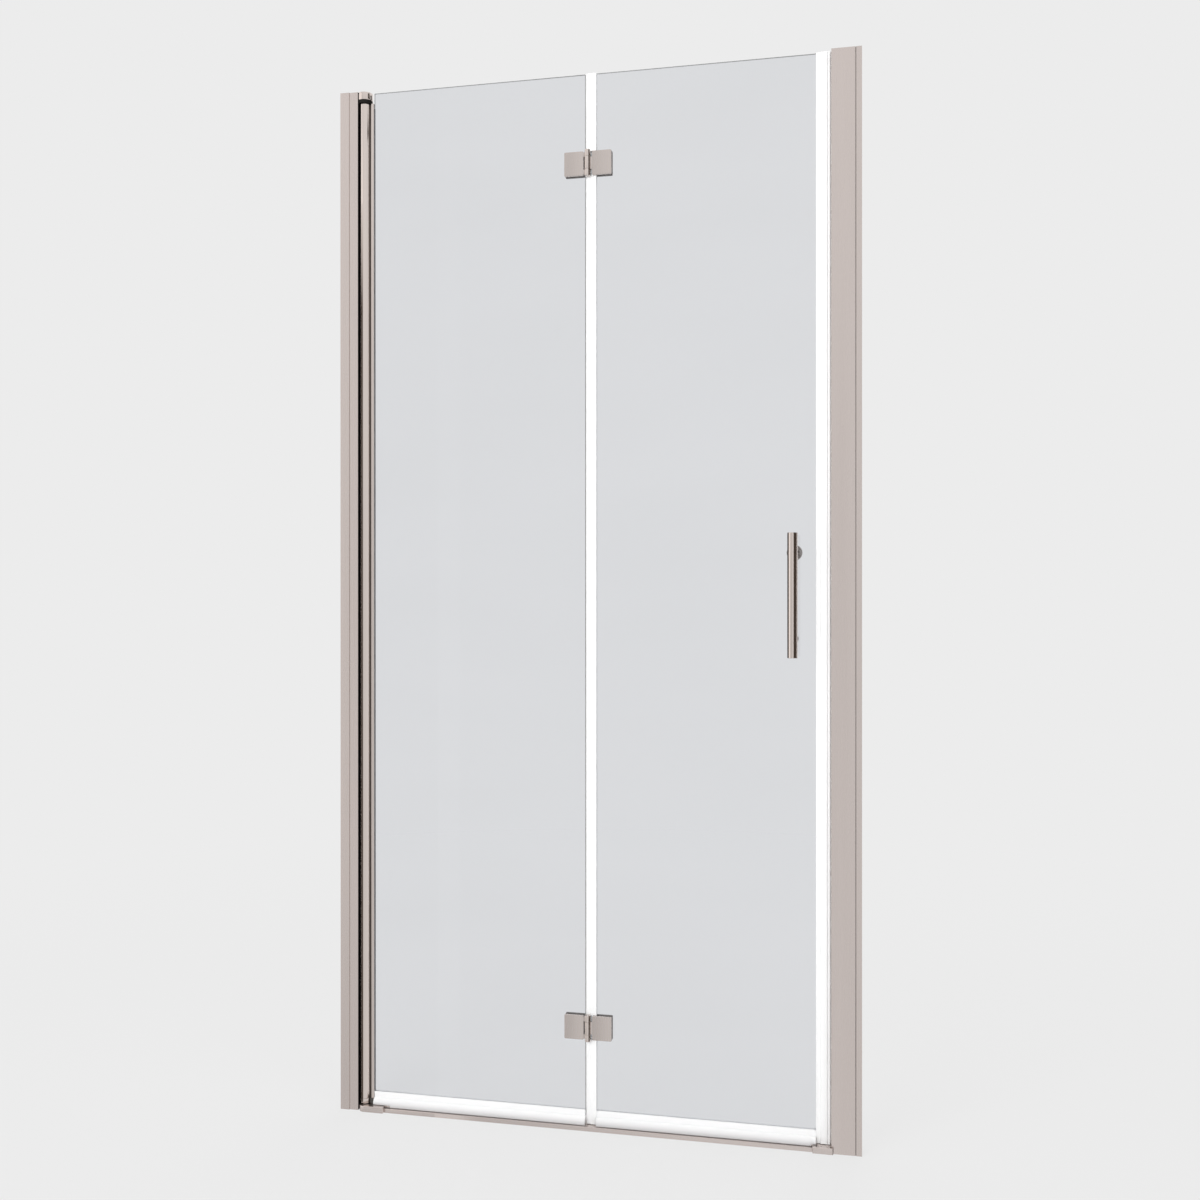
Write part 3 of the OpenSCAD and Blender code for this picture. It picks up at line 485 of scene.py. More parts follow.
washerShape = {"radius": 14.4, "nest": 12.2, "lip": -9.3, "bottom": 1929.5, "top": 1935.5, "edge": 0.5, "bore": 4.0}
washerStations = roundEnds(washerShape["bottom"], washerShape["top"], washerShape["edge"])
makePiece("topWasher", [carry([
    (at(bracketOutline(washerShape), pivot["x"]), washerStations),
    (circle((pivot["x"], 0), washerShape["bore"], 48, hole=True), washerStations)])],
    nylonBlackAndPaintedShade, "frame", ["top_washer"])

collarShape = {"bottom": 12.4, "top": 21.8, "bore": 6.0, "spigotTop": 39.4, "boreTop": 36.4, "edge": 0.5}


def collarProfile(s):
    tube, bore, e = pivot["tube"], pivot["bore"], s["edge"]
    return [(0, s["boreTop"]), (s["bore"], s["boreTop"]), (s["bore"], s["bottom"]),
            (tube - e, s["bottom"]), (tube - e * 0.3, s["bottom"] + e * 0.3), (tube, s["bottom"] + e),
            (tube, s["top"] - e), (tube - e * 0.3, s["top"] - e * 0.3), (tube - e, s["top"]),
            (bore, s["top"]), (bore, s["spigotTop"] - 1), (bore - 1, s["spigotTop"]), (0, s["spigotTop"])]


makePiece("bottomCollar", [turn(collarProfile(collarShape), (pivot["x"], 0, 0))],
          nickelRound, "inner_leaf", ["bottom_collar"])

# On the floor: the foot under the pivot, the end cap and the threshold
tongueShape = {"half": 13.3, "bottom": 1.7, "top": 6.1, "corner": 0.4, "edge": 0.3, "length": 12.0, "overlap": 1.0}
footShape = {"front": 20.4, "height": 11.4, "end": 43.3, "roundX": 4.5, "round": 12.24, "nest": 12.2,
             "corner": 1.5, "edge": 0.9}


def tongueShell(x0, x1, s=tongueShape):
    # The part of a block that plugs the hollow threshold
    section = rectangle(-s["half"], s["bottom"], s["half"], s["top"], s["corner"])
    return carry([(section, roundEnds(x0, x1, s["edge"]))], "x")


s = footShape
footOutline = outline(bothHalves([
    (s["roundX"] - s["round"], -s["front"], s["round"]), (s["end"], -s["front"], s["corner"])]), 25)
footStations = roundEnds(0, s["height"], s["edge"])
footEnd = pivot["x"] + s["end"]
makePiece("pivotFoot", [
    carry([(at(footOutline, pivot["x"]), footStations)]),
    carry([(circle((pivot["x"], 0), s["nest"]), footStations)]),
    tongueShell(footEnd - tongueShape["overlap"], footEnd + tongueShape["length"])],
    nickelLevel, "frame", ["pivot_foot"])

capShape = {"left": 404.0, "right": 440.6, "notch": 436.8, "notchHalf": 15.2, "front": 20.4, "height": 11.4,
            "corner": 1.5, "edge": 0.9}
s = capShape
capOutline = outline(bothHalves([
    (s["left"], -s["front"], s["corner"]), (s["right"], -s["front"], s["corner"]),
    (s["right"], -s["notchHalf"], 0.3), (s["notch"], -s["notchHalf"], 0.0)]), 9)
makePiece("thresholdEndCap", [
    carry([(capOutline, roundEnds(0, s["height"], s["edge"]))]),
    tongueShell(s["left"] - tongueShape["length"], s["left"] + tongueShape["overlap"])],
    nickelLevel, "frame", ["threshold_end_cap"])

barShape = {"left": -402.2, "right": 404.0, "half": 15.0, "frontHeight": 7.8, "crown": 8.4, "wall": 1.5, "edge": 0.7}


def thresholdLoop(shape, wall=0.0, hole=False):
    # Flat foot, two upright sides and a round top of radius (half^2 + rise^2) / (2 rise);
    # outside, each side meets the top in a small quarter round
    rise = shape["crown"] - shape["frontHeight"]
    radius = (shape["half"] ** 2 + rise ** 2) / (2 * rise)
    middle, half = shape["crown"] - radius, shape["half"] - wall
    edge = 0.05 if hole else shape["edge"]
    y = np.linspace(half - edge, edge - half, 41)
    crown = np.stack([y, middle + np.sqrt((radius - wall) ** 2 - y ** 2)], 1)
    t = np.radians(np.linspace(0, 80, 5))
    side = np.stack([half - edge * (1 - np.cos(t)), crown[0, 1] - edge * (1 - np.sin(t))], 1)
    loop = np.concatenate([[(-half, wall), (half, wall)], side, crown, (side * [-1, 1])[::-1]])
    return loop[::-1] if hole else loop


barStations = roundEnds(barShape["left"], barShape["right"], 0.15)
makePiece("thresholdBar", [carry([
    (thresholdLoop(barShape), barStations),
    (thresholdLoop(barShape, barShape["wall"], hole=True), barStations)], "x")],
    nickelLevel, "frame", ["threshold_bar"])
print("frame pieces made")

# The two panes of glass
paneShape = {"foot": 22.0, "top": 1949.0, "half": 3.0, "arris": 0.7, "hole": 5.0, "holeArris": 0.4,
             "hingeHoles": (-12.015, 12.015)}
innerPaneShape = {"left": -431.0, "right": -10.5, "notchX": -425.5, "notchFoot": 30.2, "notchTop": 1920.8}
outerPaneShape = {"left": 0.0, "right": 417.0, "handleX": 371.0, "handleHeights": (908.5, 1062.5)}


def paneShell(corners, holes):
    # A flat sheet carried along Y whose edges are arrised; each hole is a loop of its own
    flat = paneShape["arris"]
    stations = np.array([(-paneShape["half"], flat), (-paneShape["half"] + flat, 0),
                         (paneShape["half"] - flat, 0), (paneShape["half"], flat)])
    small = paneShape["holeArris"]
    holeStations = np.array([(-paneShape["half"], small), (-paneShape["half"] + small, 0),
                             (paneShape["half"] - small, 0), (paneShape["half"], small)])
    loops = [(outline(corners), stations)]
    loops += [(circle(hole, paneShape["hole"], 40, hole=True), holeStations) for hole in holes]
    return carry(loops, "y")


def paneEdge(centre, normal):
    return np.abs(normal[:, 1]) < 0.9


plateMid = 26.25
inner = innerPaneShape
innerHoles = [(fold["x"] - plateMid, z + dz) for z in fold["heights"] for dz in paneShape["hingeHoles"]]
innerPane = makePiece("innerPane", [paneShell([
    (inner["notchX"], paneShape["foot"], 1.0), (inner["right"], paneShape["foot"], 1.5),
    (inner["right"], paneShape["top"], 1.5), (inner["notchX"], paneShape["top"], 1.0),
    (inner["notchX"], inner["notchTop"], 0.5), (inner["left"], inner["notchTop"], 0.5),
    (inner["left"], inner["notchFoot"], 0.5), (inner["notchX"], inner["notchFoot"], 0.5)], innerHoles)],
    glassFinish, "inner_leaf", ["inner_pane"], 20, (edgeFinish, paneEdge))
outer = outerPaneShape
outerHoles = [(fold["x"] + plateMid, z + dz) for z in fold["heights"] for dz in paneShape["hingeHoles"]]
outerHoles += [(outer["handleX"], z) for z in outer["handleHeights"]]
outerPane = makePiece("outerPane", [paneShell([
    (outer["left"], paneShape["foot"], 1.5), (outer["right"], paneShape["foot"], 1.5),
    (outer["right"], paneShape["top"], 1.5), (outer["left"], paneShape["top"], 1.5)], outerHoles)],
    glassFinish, "outer_leaf", ["outer_pane"], 20, (edgeFinish, paneEdge))
for pane in (innerPane, outerPane):
    pane.visible_shadow = False  # clear glass leaves the floor lit
print("panes made")

# White seals: fold, closing edge, magnet strip and the two bottom sweeps
sealShape = {"foot": 9.2, "closingFoot": 12.0, "top": 1949.8, "inside": 3.05, "outside": 4.25, "edge": 0.15}
near, far = sealShape["inside"], sealShape["outside"]  # the two sides of an arm on the glass

foldSealShape = {"webFoot": 3.6, "webHead": 4.8, "armEnd": 15.6, "bulb": 3.0, "bulbWall": 0.8, "bulbX": -1.6,
                 "hingeZone": 22.45}
s = foldSealShape
clip = outline(bothHalves([
    (s["webFoot"], -far, 0.5), (s["armEnd"], -far, 0.45), (s["armEnd"], -near, 0.45), (s["webHead"], -near, 0.3)]))
bulbOuter = np.concatenate([
    arcLine((s["bulbX"], 0), s["bulb"], 90, 270, 33),
    np.array([(s["webFoot"] + 0.1, -s["bulb"]), (s["webFoot"] + 0.1, s["bulb"])])])
bulbInner = np.concatenate([
    arcLine((s["bulbX"], 0), s["bulb"] - s["bulbWall"], 90, 270, 33),
    np.array([(s["webFoot"], -s["bulb"] + s["bulbWall"]), (s["webFoot"], s["bulb"] - s["bulbWall"])])])[::-1]
sealShells = []
breaks = [sealShape["foot"]]
for z in fold["heights"]:
    breaks += [z - s["hingeZone"], z + s["hingeZone"]]
breaks.append(sealShape["top"])
for start, end in zip(breaks[0::2], breaks[1::2]):
    sealShells.append(carry([(at(clip, fold["x"]), roundEnds(start, end, sealShape["edge"]))]))
for z in fold["heights"]:  # only the web passes behind a hinge
    web = at(rectangle(s["webFoot"], -3.0, s["webHead"], 3.0, 0.3), fold["x"])
    sealShells.append(carry([(web, roundEnds(z - s["hingeZone"], z + s["hingeZone"], 0))]))
bulbStations = roundEnds(sealShape["foot"], sealShape["top"], sealShape["edge"])
sealShells.append(carry([(at(bulbOuter, fold["x"]), bulbStations), (at(bulbInner, fold["x"]), bulbStations)]))
makePiece("foldSeal", sealShells, sealFinish, "outer_leaf", ["fold_seal"])

closingShape = {"armEnd": 410.0, "head": 417.2, "slope": 1.6, "face": 429.8, "half": 6.0,
                "pocket": (424.6, 428.6), "pocketHalf": 4.0}
c = closingShape
closingFront = [(c["armEnd"], -far, 0.45), (c["head"], -far, 1.2),
                (c["head"] + c["slope"], -c["half"], 1.2), (c["face"], -c["half"], 1.0)]
closingInside = [(c["armEnd"], near, 0.45), (c["head"], near, 0.3),
                 (c["head"], -near, 0.3), (c["armEnd"], -near, 0.45)]
closingOutline = outline(bothHalves(closingFront) + closingInside)
closingStations = roundEnds(sealShape["closingFoot"], sealShape["top"], 0.3)


def pocketLoop(shape):
    # The room for a magnet inside a seal
    x0, x1 = shape["pocket"]
    return rectangle(x0, -shape["pocketHalf"], x1, shape["pocketHalf"], 0.4)[::-1]


makePiece("closingSeal", [carry([(closingOutline, closingStations), (pocketLoop(c), closingStations)])],
          sealFinish, "outer_leaf", ["closing_seal"])

stripShape = {"face": 430.4, "back": 435.0, "half": 6.0, "neckHalf": 2.8, "foot": 438.7, "footEnd": 441.7,
              "footHalf": 5.8, "pocket": (431.6, 433.8), "pocketHalf": 4.0}
p = stripShape
stripOutline = outline(bothHalves([
    (p["face"], -p["half"], 1.0), (p["back"], -p["half"], 0.5), (p["back"], -p["neckHalf"], 0.1),
    (p["foot"], -p["neckHalf"], 0.1), (p["foot"], -p["footHalf"], 0.3), (p["footEnd"], -p["footHalf"], 0.6)]))
makePiece("jambMagnetStrip", [carry([(stripOutline, closingStations), (pocketLoop(p), closingStations)])],
          sealFinish, "frame", ["jamb_magnet_strip"])

sweepShape = {"clipFoot": 20.6, "pocket": 21.8, "clipTop": 35.3, "bladeHalf": 0.6, "lowTip": 8.5, "highTip": 12.0,
              "lipPath": ((-4.45, 23.4), (-9.8, 21.0), (-11.6, 15.5), (-10.55, 8.62)), "lipHalf": 0.55}


def sweepLip(shape, tip):
    # A cubic curve from the clip bulges forwards and turns back under; it is thickened to
    # both sides along its normals and gets thin at the tip. Tips that hang higher than
    # lowTip are lifted by the difference times t squared.
    t = np.linspace(0, 1, 33)[:, None]
    p0, p1, p2, p3 = np.array(shape["lipPath"])
    line = (1 - t) ** 3 * p0 + 3 * (1 - t) ** 2 * t * p1 + 3 * (1 - t) * t ** 2 * p2 + t ** 3 * p3
    slope = np.gradient(line, axis=0)
    slope /= np.linalg.norm(slope, axis=1, keepdims=True)
    normal = np.stack([-slope[:, 1], slope[:, 0]], 1)
    half = shape["lipHalf"] * np.sqrt(1 - np.clip((t * 33 - 31) / 2.2, 0, 0.95) ** 2)
    line[:, 1] += (tip - shape["lowTip"]) * t[:, 0] ** 2
    return np.concatenate([line + normal * half, (line - normal * half)[::-1]])


def sweepShells(x0, x1, lips, shape):
    # The clip runs from x0 to x1; each stretch of lips is (start, end, height of its tips)
    clip = outline([
        (-far, shape["clipFoot"], 0.8), (far, shape["clipFoot"], 0.8), (far, shape["clipTop"], 0.4),
        (near, shape["clipTop"], 0.4), (near, shape["pocket"], 0.3), (-near, shape["pocket"], 0.3),
        (-near, shape["clipTop"], 0.4), (-far, shape["clipTop"], 0.4)])
    shells = [carry([(clip, roundEnds(x0, x1, 0.15))], "x")]
    for start, end, tip in lips:
        blade = rectangle(-shape["bladeHalf"], tip, shape["bladeHalf"], shape["pocket"] - 0.6, 0.5)
        shells += [carry([(loop, roundEnds(start, end, 0.15))], "x") for loop in (blade, sweepLip(shape, tip))]
    return shells


innerLips = [(-425.2, -391.1, sweepShape["highTip"]), (-391.1, -10.5, sweepShape["lowTip"])]
outerLips = [(10.8, 401.0, sweepShape["lowTip"]), (401.0, 409.8, sweepShape["highTip"])]
makePiece("innerSweep", sweepShells(-425.2, -10.5, innerLips, sweepShape),
          sweepFinish, "inner_leaf", ["inner_sweep"])
makePiece("outerSweep", sweepShells(10.8, 409.8, outerLips, sweepShape),
          sweepFinish, "outer_leaf", ["outer_sweep"])
print("seals made")

# The fold hinges: two leaves with interleaved knuckles and a clamp plate behind each
hingeShape = {"near": 8.0, "far": 44.5, "half": 22.25, "innerY": 3.5, "outerY": 8.5, "corner": 2.0, "edge": 0.6,
              "barrel": 5.25, "pin": 2.52, "barrelHalf": 24.0, "knuckleHalf": 11.52, "joint": 0.1,
              "armInner": 4.0, "armHalf": 20.25, "screws": (-12.015, 12.015), "bore": 2.55, "sink": 4.5}


def plateLoop(side, z):
    h = hingeShape
    x0, x1 = sorted((fold["x"] + side * h["near"], fold["x"] + side * h["far"]))
    return rectangle(x0, z - h["half"], x1, z + h["half"], h["corner"])


def hingeLeaf(side, z, knuckles):
    # A plate on the glass, and for each knuckle a turned ring and an arm that joins it
    h = hingeShape
    shells = [carry([(plateLoop(side, z), roundEnds(-h["outerY"], -h["innerY"], h["edge"]))], "y")]
    for low, high in knuckles:
        profile = rectangle(h["pin"], z + low, h["barrel"], z + high, 0.5)
        shells.append(turn(profile, (fold["x"], fold["y"], 0), closed=True))
        x0, x1 = sorted((side * h["pin"], side * (h["near"] + 1)))
        arm = at(rectangle(x0, -h["outerY"], x1, -h["armInner"], 0.3), fold["x"])
        span = (max(low, -h["armHalf"]), min(high, h["armHalf"]))
        shells.append(carry([(arm, roundEnds(z + span[0], z + span[1], 0.3))]))
    return shells


def barrelFace(centre, normal):
    return np.hypot(centre[:, 0] - fold["x"], centre[:, 1] - fold["y"]) < hingeShape["barrel"] + 0.05


# The narrow sides of a plate, which get the painted shade
def plateEdge(centre, normal):
    return np.abs(normal[:, 1]) < 0.3


def hingeClamp(side, z):
    # The rear plate, with a countersink round each screw
    h = hingeShape
    loops = [(plateLoop(side, z), roundEnds(h["innerY"], h["outerY"], h["edge"]))]
    depth = h["sink"] - h["bore"]
    sink = np.array([(h["innerY"], 0), (h["outerY"] - depth, 0), (h["outerY"], depth)])
    for dz in h["screws"]:
        loops.append((circle((fold["x"] + side * plateMid, z + dz), h["bore"], 40, hole=True), sink))
    return [carry(loops, "y")]


h = hingeShape
outerKnuckles = [(-h["barrelHalf"], -h["knuckleHalf"] - h["joint"]), (h["knuckleHalf"] + h["joint"], h["barrelHalf"])]
centreKnuckle = [(-h["knuckleHalf"], h["knuckleHalf"])]
for level, z in zip(("lower", "upper"), fold["heights"]):
    for side, leafName, knuckles in ((-1, "inner", outerKnuckles), (1, "outer", centreKnuckle)):
        title = leafName.capitalize()
        makePiece(f"{level}Hinge{title}Leaf", hingeLeaf(side, z, knuckles), nickelPlate, f"{leafName}_leaf",
                  [f"{level}_hinge_{leafName}_leaf"], second=(nickelRound, barrelFace))
        makePiece(f"{level}Hinge{title}Clamp", hingeClamp(side, z), nickelPlate, f"{leafName}_leaf",
                  [f"{level}_hinge_{leafName}_clamp"], second=(plateEdgeShade, plateEdge))
print("hinges made")

# The handle: bar and posts in front, knob and cap behind, clear rings on the glass
handleShape = {"x": 371.0, "y": -45.0, "bar": 9.0, "bottom": 875.5, "top": 1095.5, "edge": 0.7,
               "post": 6.0, "postEnd": -4.0, "spigot": 3.5, "heights": (908.5, 1062.5)}


def barProfile(s):
    # Radius over height: flat ends with a quarter-round edge
    t = np.radians(np.linspace(0, 90, 6))
    rim = np.stack([s["bar"] - s["edge"] * (1 - np.sin(t)), s["edge"] * (1 - np.cos(t))], 1)
    lower = rim + [0, s["bottom"]]
    upper = (rim * [1, -1])[::-1] + [0, s["top"]]
    return np.concatenate([[(0, s["bottom"])], lower, upper, [(0, s["top"])]])


g = handleShape
makePiece("handleBar", [turn(barProfile(g), (g["x"], g["y"], 0), count=128)],
          nickelRound, "outer_leaf", ["handle_bar"])


def postShell(s, z, count=72):
    # A round post: its bar end follows the bar, y = axis + sqrt(bar^2 - (r cos a)^2), and
    # a spigot of smaller radius goes on into the bar
    angle = np.linspace(0, 2 * np.pi, count, endpoint=False)
    saddle = lambda r: s["y"] + np.sqrt(s["bar"] ** 2 - (r * np.cos(angle)) ** 2) + 0.02
    level = lambda y: np.full(count, y)
    rows = [(s["spigot"], level(s["y"] + 2)), (s["spigot"], saddle(s["spigot"])), (s["post"], saddle(s["post"])),
            (s["post"], level(s["postEnd"] - 0.5)), (s["post"] - 0.15, level(s["postEnd"] - 0.15)),
            (s["post"] - 0.5, level(s["postEnd"])), (0.01, level(s["postEnd"]))]
    ring = np.stack([np.stack([s["x"] + r * np.cos(angle), y, z + r * np.sin(angle)], 1) for r, y in rows])
    points = np.concatenate([ring.reshape(-1, 3), [[s["x"], s["y"] + 2, z], [s["x"], s["postEnd"], z]]])
    return outwards(points, ringQuads(len(rows), count), poleTriangles(len(rows), count))


makePiece("handlePosts", [postShell(g, z) for z in g["heights"]],
          nickelUp, "outer_leaf", ["handle_posts"])

ringShape = {"inner": 2.6, "outer": 6.0, "thick": 1.0, "edge": 0.2, "starts": (-4.0, 3.0)}
ringProfile = rectangle(ringShape["inner"], 0.0, ringShape["outer"], ringShape["thick"], ringShape["edge"])
makePiece("handleRings", [
    turn(ringProfile, (g["x"], y, z), "y", closed=True) for z in g["heights"] for y in ringShape["starts"]],
    ringFinish, "outer_leaf", ["handle_rings"])

knobShape = {"base": 4.0, "length": 22.0, "radius": 14.0, "neckHeights": (0, 1.0, 3, 6, 9, 11, 12.5),
             "neckRadii": (8.68, 8.68, 8.3, 7.1, 7.9, 10.3, 12.9), "rimFoot": 14.4, "rimRound": 1.8, "headRound": 1.6}


def knobProfile(s):
    # Foot, narrow neck and a wide head: smooth curve through a few radii, then a round rim
    fine = np.linspace(0, s["neckHeights"][-1], 26)
    neck = np.stack([np.interp(fine, s["neckHeights"], s["neckRadii"]), fine], 1)
    neck[:, 0] = np.convolve(np.pad(neck[:, 0], 2, mode="edge"), [0.1, 0.2, 0.4, 0.2, 0.1], "valid")
    rim, head = s["rimRound"], s["headRound"]
    t = np.radians(np.linspace(20, 90, 7))
    lower = np.stack([s["radius"] - rim * (1 - np.sin(t)), s["rimFoot"] - rim * np.cos(t)], 1)
    t = np.radians(np.linspace(0, 90, 8))
    upper = np.stack([s["radius"] - head * (1 - np.cos(t)), s["length"] - head * (1 - np.sin(t))], 1)
    return np.concatenate([[(0, 0)], neck, lower, upper, [(0, s["length"])]])


makePiece("insideKnob", [turn(knobProfile(knobShape), (g["x"], knobShape["base"], g["heights"][1]), "y")],
          shadedKnobNickel, "outer_leaf", ["inside_knob"], sharpAngle=50)
capRim = {"radius": 8.0, "length": 5.0, "edge": 1.0}


def capProfile(s):
    t = np.radians(np.linspace(0, 90, 7))
    rim = np.stack([s["radius"] - s["edge"] * (1 - np.cos(t)), s["length"] - s["edge"] * (1 - np.sin(t))], 1)
    return np.concatenate([[(0, 0), (s["radius"] - 0.2, 0), (s["radius"], 0.2)], rim, [(0, s["length"])]])


makePiece("insideCap", [turn(capProfile(capRim), (g["x"], knobShape["base"], g["heights"][0]), "y")],
          nickelLevel, "outer_leaf", ["inside_cap"])
print("handle made")

# The wall profiles keep their CAD form, holes and all: a merged copy gets broken edges.
# Painted shade: the round seat of the tube with its lips, and the joint at the right, are painted black.
profileEdge = {"width": 0.3, "segments": 2, "angle": 50, "sharp": 32, "merge": 1e-6, "flat": 0.5,
               "seat": 13.0, "lips": -455.0, "seam": 479.25, "flange": 480.0}


def inSeat(centre, normal):
    lips = (normal[:, 0] > 0.9) & (np.abs(centre[:, 0] - profileEdge["lips"]) < 0.2)
    return lips | (np.hypot(centre[:, 0] - pivot["x"], centre[:, 1]) < profileEdge["seat"])


def pastSeam(centre, normal):
    return centre[:, 0] > profileEdge["seam"]


def onFlange(centre, normal):
    return (np.abs(centre[:, 0] - profileEdge["flange"]) < 0.1) & (np.abs(normal[:, 0]) > 0.9)


profiles = {
    "left_wall_channel": ("leftWallChannel", None),
    "right_wall_channel": ("rightWallChannel", onFlange),
    "left_jamb": ("leftJamb", inSeat),
    "right_jamb": ("rightJamb", pastSeam),
}
for nodeName, (pieceName, paintedShadeFaces) in profiles.items():
    solid = bmesh.new()
    solid.from_mesh(nodes[nodeName].data)
    bmesh.ops.remove_doubles(solid, verts=solid.verts, dist=profileEdge["merge"])
    bmesh.ops.dissolve_limit(solid, angle_limit=np.radians(profileEdge["flat"]), verts=solid.verts, edges=solid.edges)
    if paintedShadeFaces is pastSeam:
        everything = [*solid.verts, *solid.edges, *solid.faces]
        seam = (profileEdge["seam"] * millimetre, 0, 0)
        bmesh.ops.bisect_plane(solid, geom=everything, plane_co=seam, plane_no=(1, 0, 0))
    mesh = bpy.data.meshes.new(pieceName)
    solid.to_mesh(mesh)
    solid.free()
    smooth(mesh, profileEdge["sharp"])
    wear(mesh, nickelUp, (nylonBlackAndPaintedShade, paintedShadeFaces) if paintedShadeFaces else None)
    piece = addObject(pieceName, mesh)
    bevel = piece.modifiers.new("brokenEdges", "BEVEL")
    bevel.width, bevel.segments = profileEdge["width"] * millimetre, profileEdge["segments"]
    bevel.limit_method, bevel.angle_limit = "ANGLE", np.radians(profileEdge["angle"])
    bevel.harden_normals = True
    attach(piece, "frame")
    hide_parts(nodeName)
print("wall profiles made")

# CAD nodes that stay and only get a material
nodeFinish = [
    (steelFinish, ["jamb_clamp_screws", "pivot_block_screws", "top_pivot_pin", "bottom_pivot_pin",
                   "inner_hinge_screws", "outer_hinge_screws", "hinge_pins", "handle_studs"]),
    (nylonBlackAndPaintedShade, ["bottom_washer", "top_bush", "bottom_bush", "inner_hinge_pads", "outer_hinge_pads"]),
    (magnetFinish, ["jamb_magnet", "leaf_magnet"]),
    (plugFinish, ["channel_end_plugs"]),
    (gasketFinish, ["glazing_gasket"]),
]
for material, names in nodeFinish:
    for name in names:
        wear(nodes[name].data, material)
print("CAD nodes finished")

# Floor, backdrop and light
studio = {"pale": 0.839, "world": 0.74, "floorHalf": 60.0, "nearShare": 0.84, "nearReach": 0.7,
          "farReach": 3.0, "front": 0.88, "left": 0.45, "rise": 0.21, "leftRise": -0.40, "leftLimit": -0.42}


def arithmetic(tree, operation, *values):
    node = tree.nodes.new("ShaderNodeMath")
    node.operation = operation
    for socket, value in zip(node.inputs, values):
        if isinstance(value, (int, float)):
            socket.default_value = value
        else:
            tree.links.new(value, socket)
    return node.outputs[0]


def blend(tree, factor, first, second):
    # first * (1 - factor) + second * factor
    difference = arithmetic(tree, "SUBTRACT", second, first)
    return arithmetic(tree, "MULTIPLY_ADD", difference, factor, first)


def rayFlags(tree):
    # Whether a point is seen straight or through glass, and whether in a reflection.
    # A ray that passes through glass counts as a glossy one too, so it is taken off there.
    path = tree.nodes.new("ShaderNodeLightPath")
    through = path.outputs["Is Transmission Ray"]
    straight = arithmetic(tree, "MAXIMUM", path.outputs["Is Camera Ray"], through)
    reflected = arithmetic(tree, "SUBTRACT", path.outputs["Is Glossy Ray"], through)
    return straight, arithmetic(tree, "MAXIMUM", reflected, 0.0)


# What the metal reflects grows towards the top and falls towards the left:
# front + left * x + rise * z + leftRise * x * z, with x from leftLimit to 0 and z at least 0
world = bpy.data.worlds.new("paleStudio")
bpy.context.scene.world = world
world.use_nodes = True
tree = world.node_tree
straight, mirrored = rayFlags(tree)
direction = splitPlace(tree, "Generated")
leftward = arithmetic(tree, "MAXIMUM", arithmetic(tree, "MINIMUM", direction["X"], 0.0), studio["leftLimit"])
upward = arithmetic(tree, "MAXIMUM", direction["Z"], 0.0)
shade = arithmetic(tree, "MULTIPLY_ADD", leftward, studio["left"], studio["front"])
shade = arithmetic(tree, "MULTIPLY_ADD", upward, studio["rise"], shade)
corner = arithmetic(tree, "MULTIPLY", leftward, upward)
shade = arithmetic(tree, "MULTIPLY_ADD", corner, studio["leftRise"], shade)
level = blend(tree, straight, studio["world"], studio["pale"])
tree.links.new(blend(tree, mirrored, level, shade), tree.nodes["Background"].inputs["Color"])


def bareMaterial(name):
    material, tree, shader = newMaterial(name)
    tree.nodes.remove(shader)
    return material, tree


# The floor: matt, and for rays that see it straight mostly lit by itself. The lit share
# grows to one away from the door.
floorMaterial, tree = bareMaterial("paleFloor")
straight, _ = rayFlags(tree)
matt = tree.nodes.new("ShaderNodeBsdfDiffuse")
matt.inputs["Color"].default_value = (studio["pale"],) * 3 + (1,)
place = tree.nodes.new("ShaderNodeTexCoord")
lit = tree.nodes.new("ShaderNodeEmission")
lit.inputs["Color"].default_value = (studio["pale"],) * 3 + (1,)
reach = tree.nodes.new("ShaderNodeVectorMath")
reach.operation = "LENGTH"
tree.links.new(place.outputs["Object"], reach.inputs[0])
share = mapRange(tree, reach.outputs["Value"], (studio["nearReach"], studio["farReach"]),
                 (studio["nearShare"], 1.0), soft=True)
share = arithmetic(tree, "MULTIPLY", straight, share)
mixer = tree.nodes.new("ShaderNodeMixShader")
tree.links.new(share, mixer.inputs[0])
tree.links.new(matt.outputs[0], mixer.inputs[1])
tree.links.new(lit.outputs[0], mixer.inputs[2])
tree.links.new(mixer.outputs[0], tree.nodes["Material Output"].inputs["Surface"])


def stagePanel(name, corners, material):
    mesh = bpy.data.meshes.new(name)
    mesh.from_pydata(corners, [], [range(4)])
    mesh.materials.append(material)
    panel = addObject(name, mesh)
    return panel


edge = studio["floorHalf"]
corners = [(-edge, -edge, 0), (edge, -edge, 0), (edge, edge, 0), (-edge, edge, 0)]
floor = stagePanel("studioFloor", corners, floorMaterial)
floor.visible_glossy = False  # the metal mirrors the studio below the floor line too

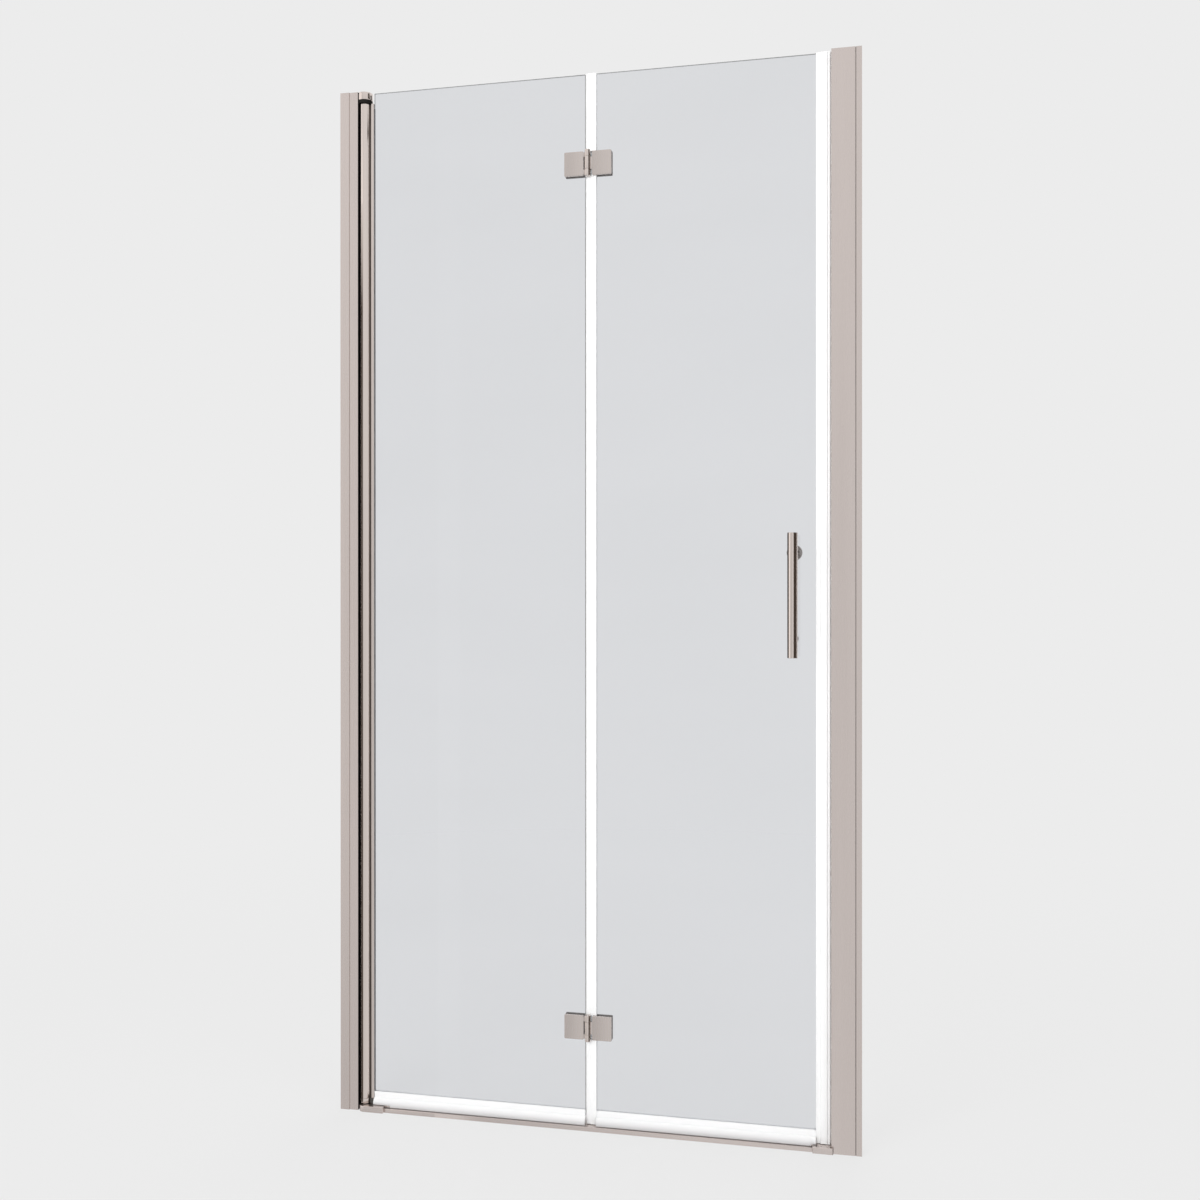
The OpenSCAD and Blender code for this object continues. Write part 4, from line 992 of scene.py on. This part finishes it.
lamps = {
    "keyLamp": {"place": (-1.4, -3.2, 2.4), "aim": (0, 0, 1.0), "size": 2.0, "power": 52.0},
    "fillLamp": {"place": (2.4, -2.8, 1.4), "aim": (0, 0, 0.9), "size": 1.8, "power": 22.0},
    "backLamp": {"place": (0.4, 3.0, 2.4), "aim": (0, 0, 1.0), "size": 2.0, "power": 16.0},
}
for name, s in lamps.items():
    light = bpy.data.lights.new(name, "AREA")
    light.shape = "SQUARE"
    light.size, light.energy = s["size"], s["power"]
    lamp = addObject(name, light)
    lamp.location = s["place"]
    lamp.rotation_euler = (Vector(s["aim"]) - Vector(s["place"])).to_track_quat("-Z", "Y").to_euler()
    lamp.visible_glossy = lamp.visible_transmission = lamp.visible_camera = False

# Cards round the door, seen only as reflections in the metal and the glass, the way a
# photographer sets flags and reflectors: dark ones for the dark sides of the round parts.
# The two small dark cards a few millimetres from the tube and the bar are painted shade:
# dark sheets put where the tube's seat and the bar's side have only shade.
cards = {
    "rightFlag": {"start": (0.64, -0.56), "end": (0.87, 0.03), "heights": (-2.6, 2.7), "glow": (0.075, 0.062, 0.052)},
    "tubeShadeCard": {"start": (-0.4550, -0.0136), "end": (-0.4481, -0.0163), "heights": (0.012, 1.74),
                 "glow": (0.105, 0.085, 0.070), "fade": (1.74, 1.54), "behind": (1.05, 1.02, 1.0)},
    "barShadeCard": {"start": (0.358, -0.0515), "end": (0.360, -0.039), "heights": (0.87, 1.10),
                "glow": (0.08, 0.07, 0.06)},
    "leftReflector": {"start": (-1.65, -0.25), "end": (-1.33, -1.62), "heights": (-0.7, 2.9),
                      "glow": (1.25, 1.22, 1.2), "fade": (-0.7, 0.1), "behind": (0.72, 0.72, 0.72)},
    "tubeReflector": {"start": (-0.30, -0.01), "end": (-0.30, -0.14), "heights": (-0.2, 1.95),
                      "glow": (0.92, 0.92, 0.92)},
}
for name, s in cards.items():
    glowMaterial, tree = bareMaterial(name)
    glow = tree.nodes.new("ShaderNodeEmission")
    glow.inputs["Color"].default_value = (*s["glow"], 1)
    if "fade" in s:  # from behind to glow between the two heights of fade
        fader = mapRange(tree, splitPlace(tree)["Z"], s["fade"])
        tree.links.new(mixColour(tree, fader, s["behind"], s["glow"]), glow.inputs["Color"])
    tree.links.new(glow.outputs[0], tree.nodes["Material Output"].inputs["Surface"])
    low, high = s["heights"]
    corners = [(*s["start"], low), (*s["end"], low), (*s["end"], high), (*s["start"], high)]
    card = stagePanel(name, corners, glowMaterial)
    card.visible_camera = card.visible_diffuse = card.visible_shadow = card.visible_transmission = False

bpy.context.scene.view_settings.view_transform = "Standard"
print("studio made")
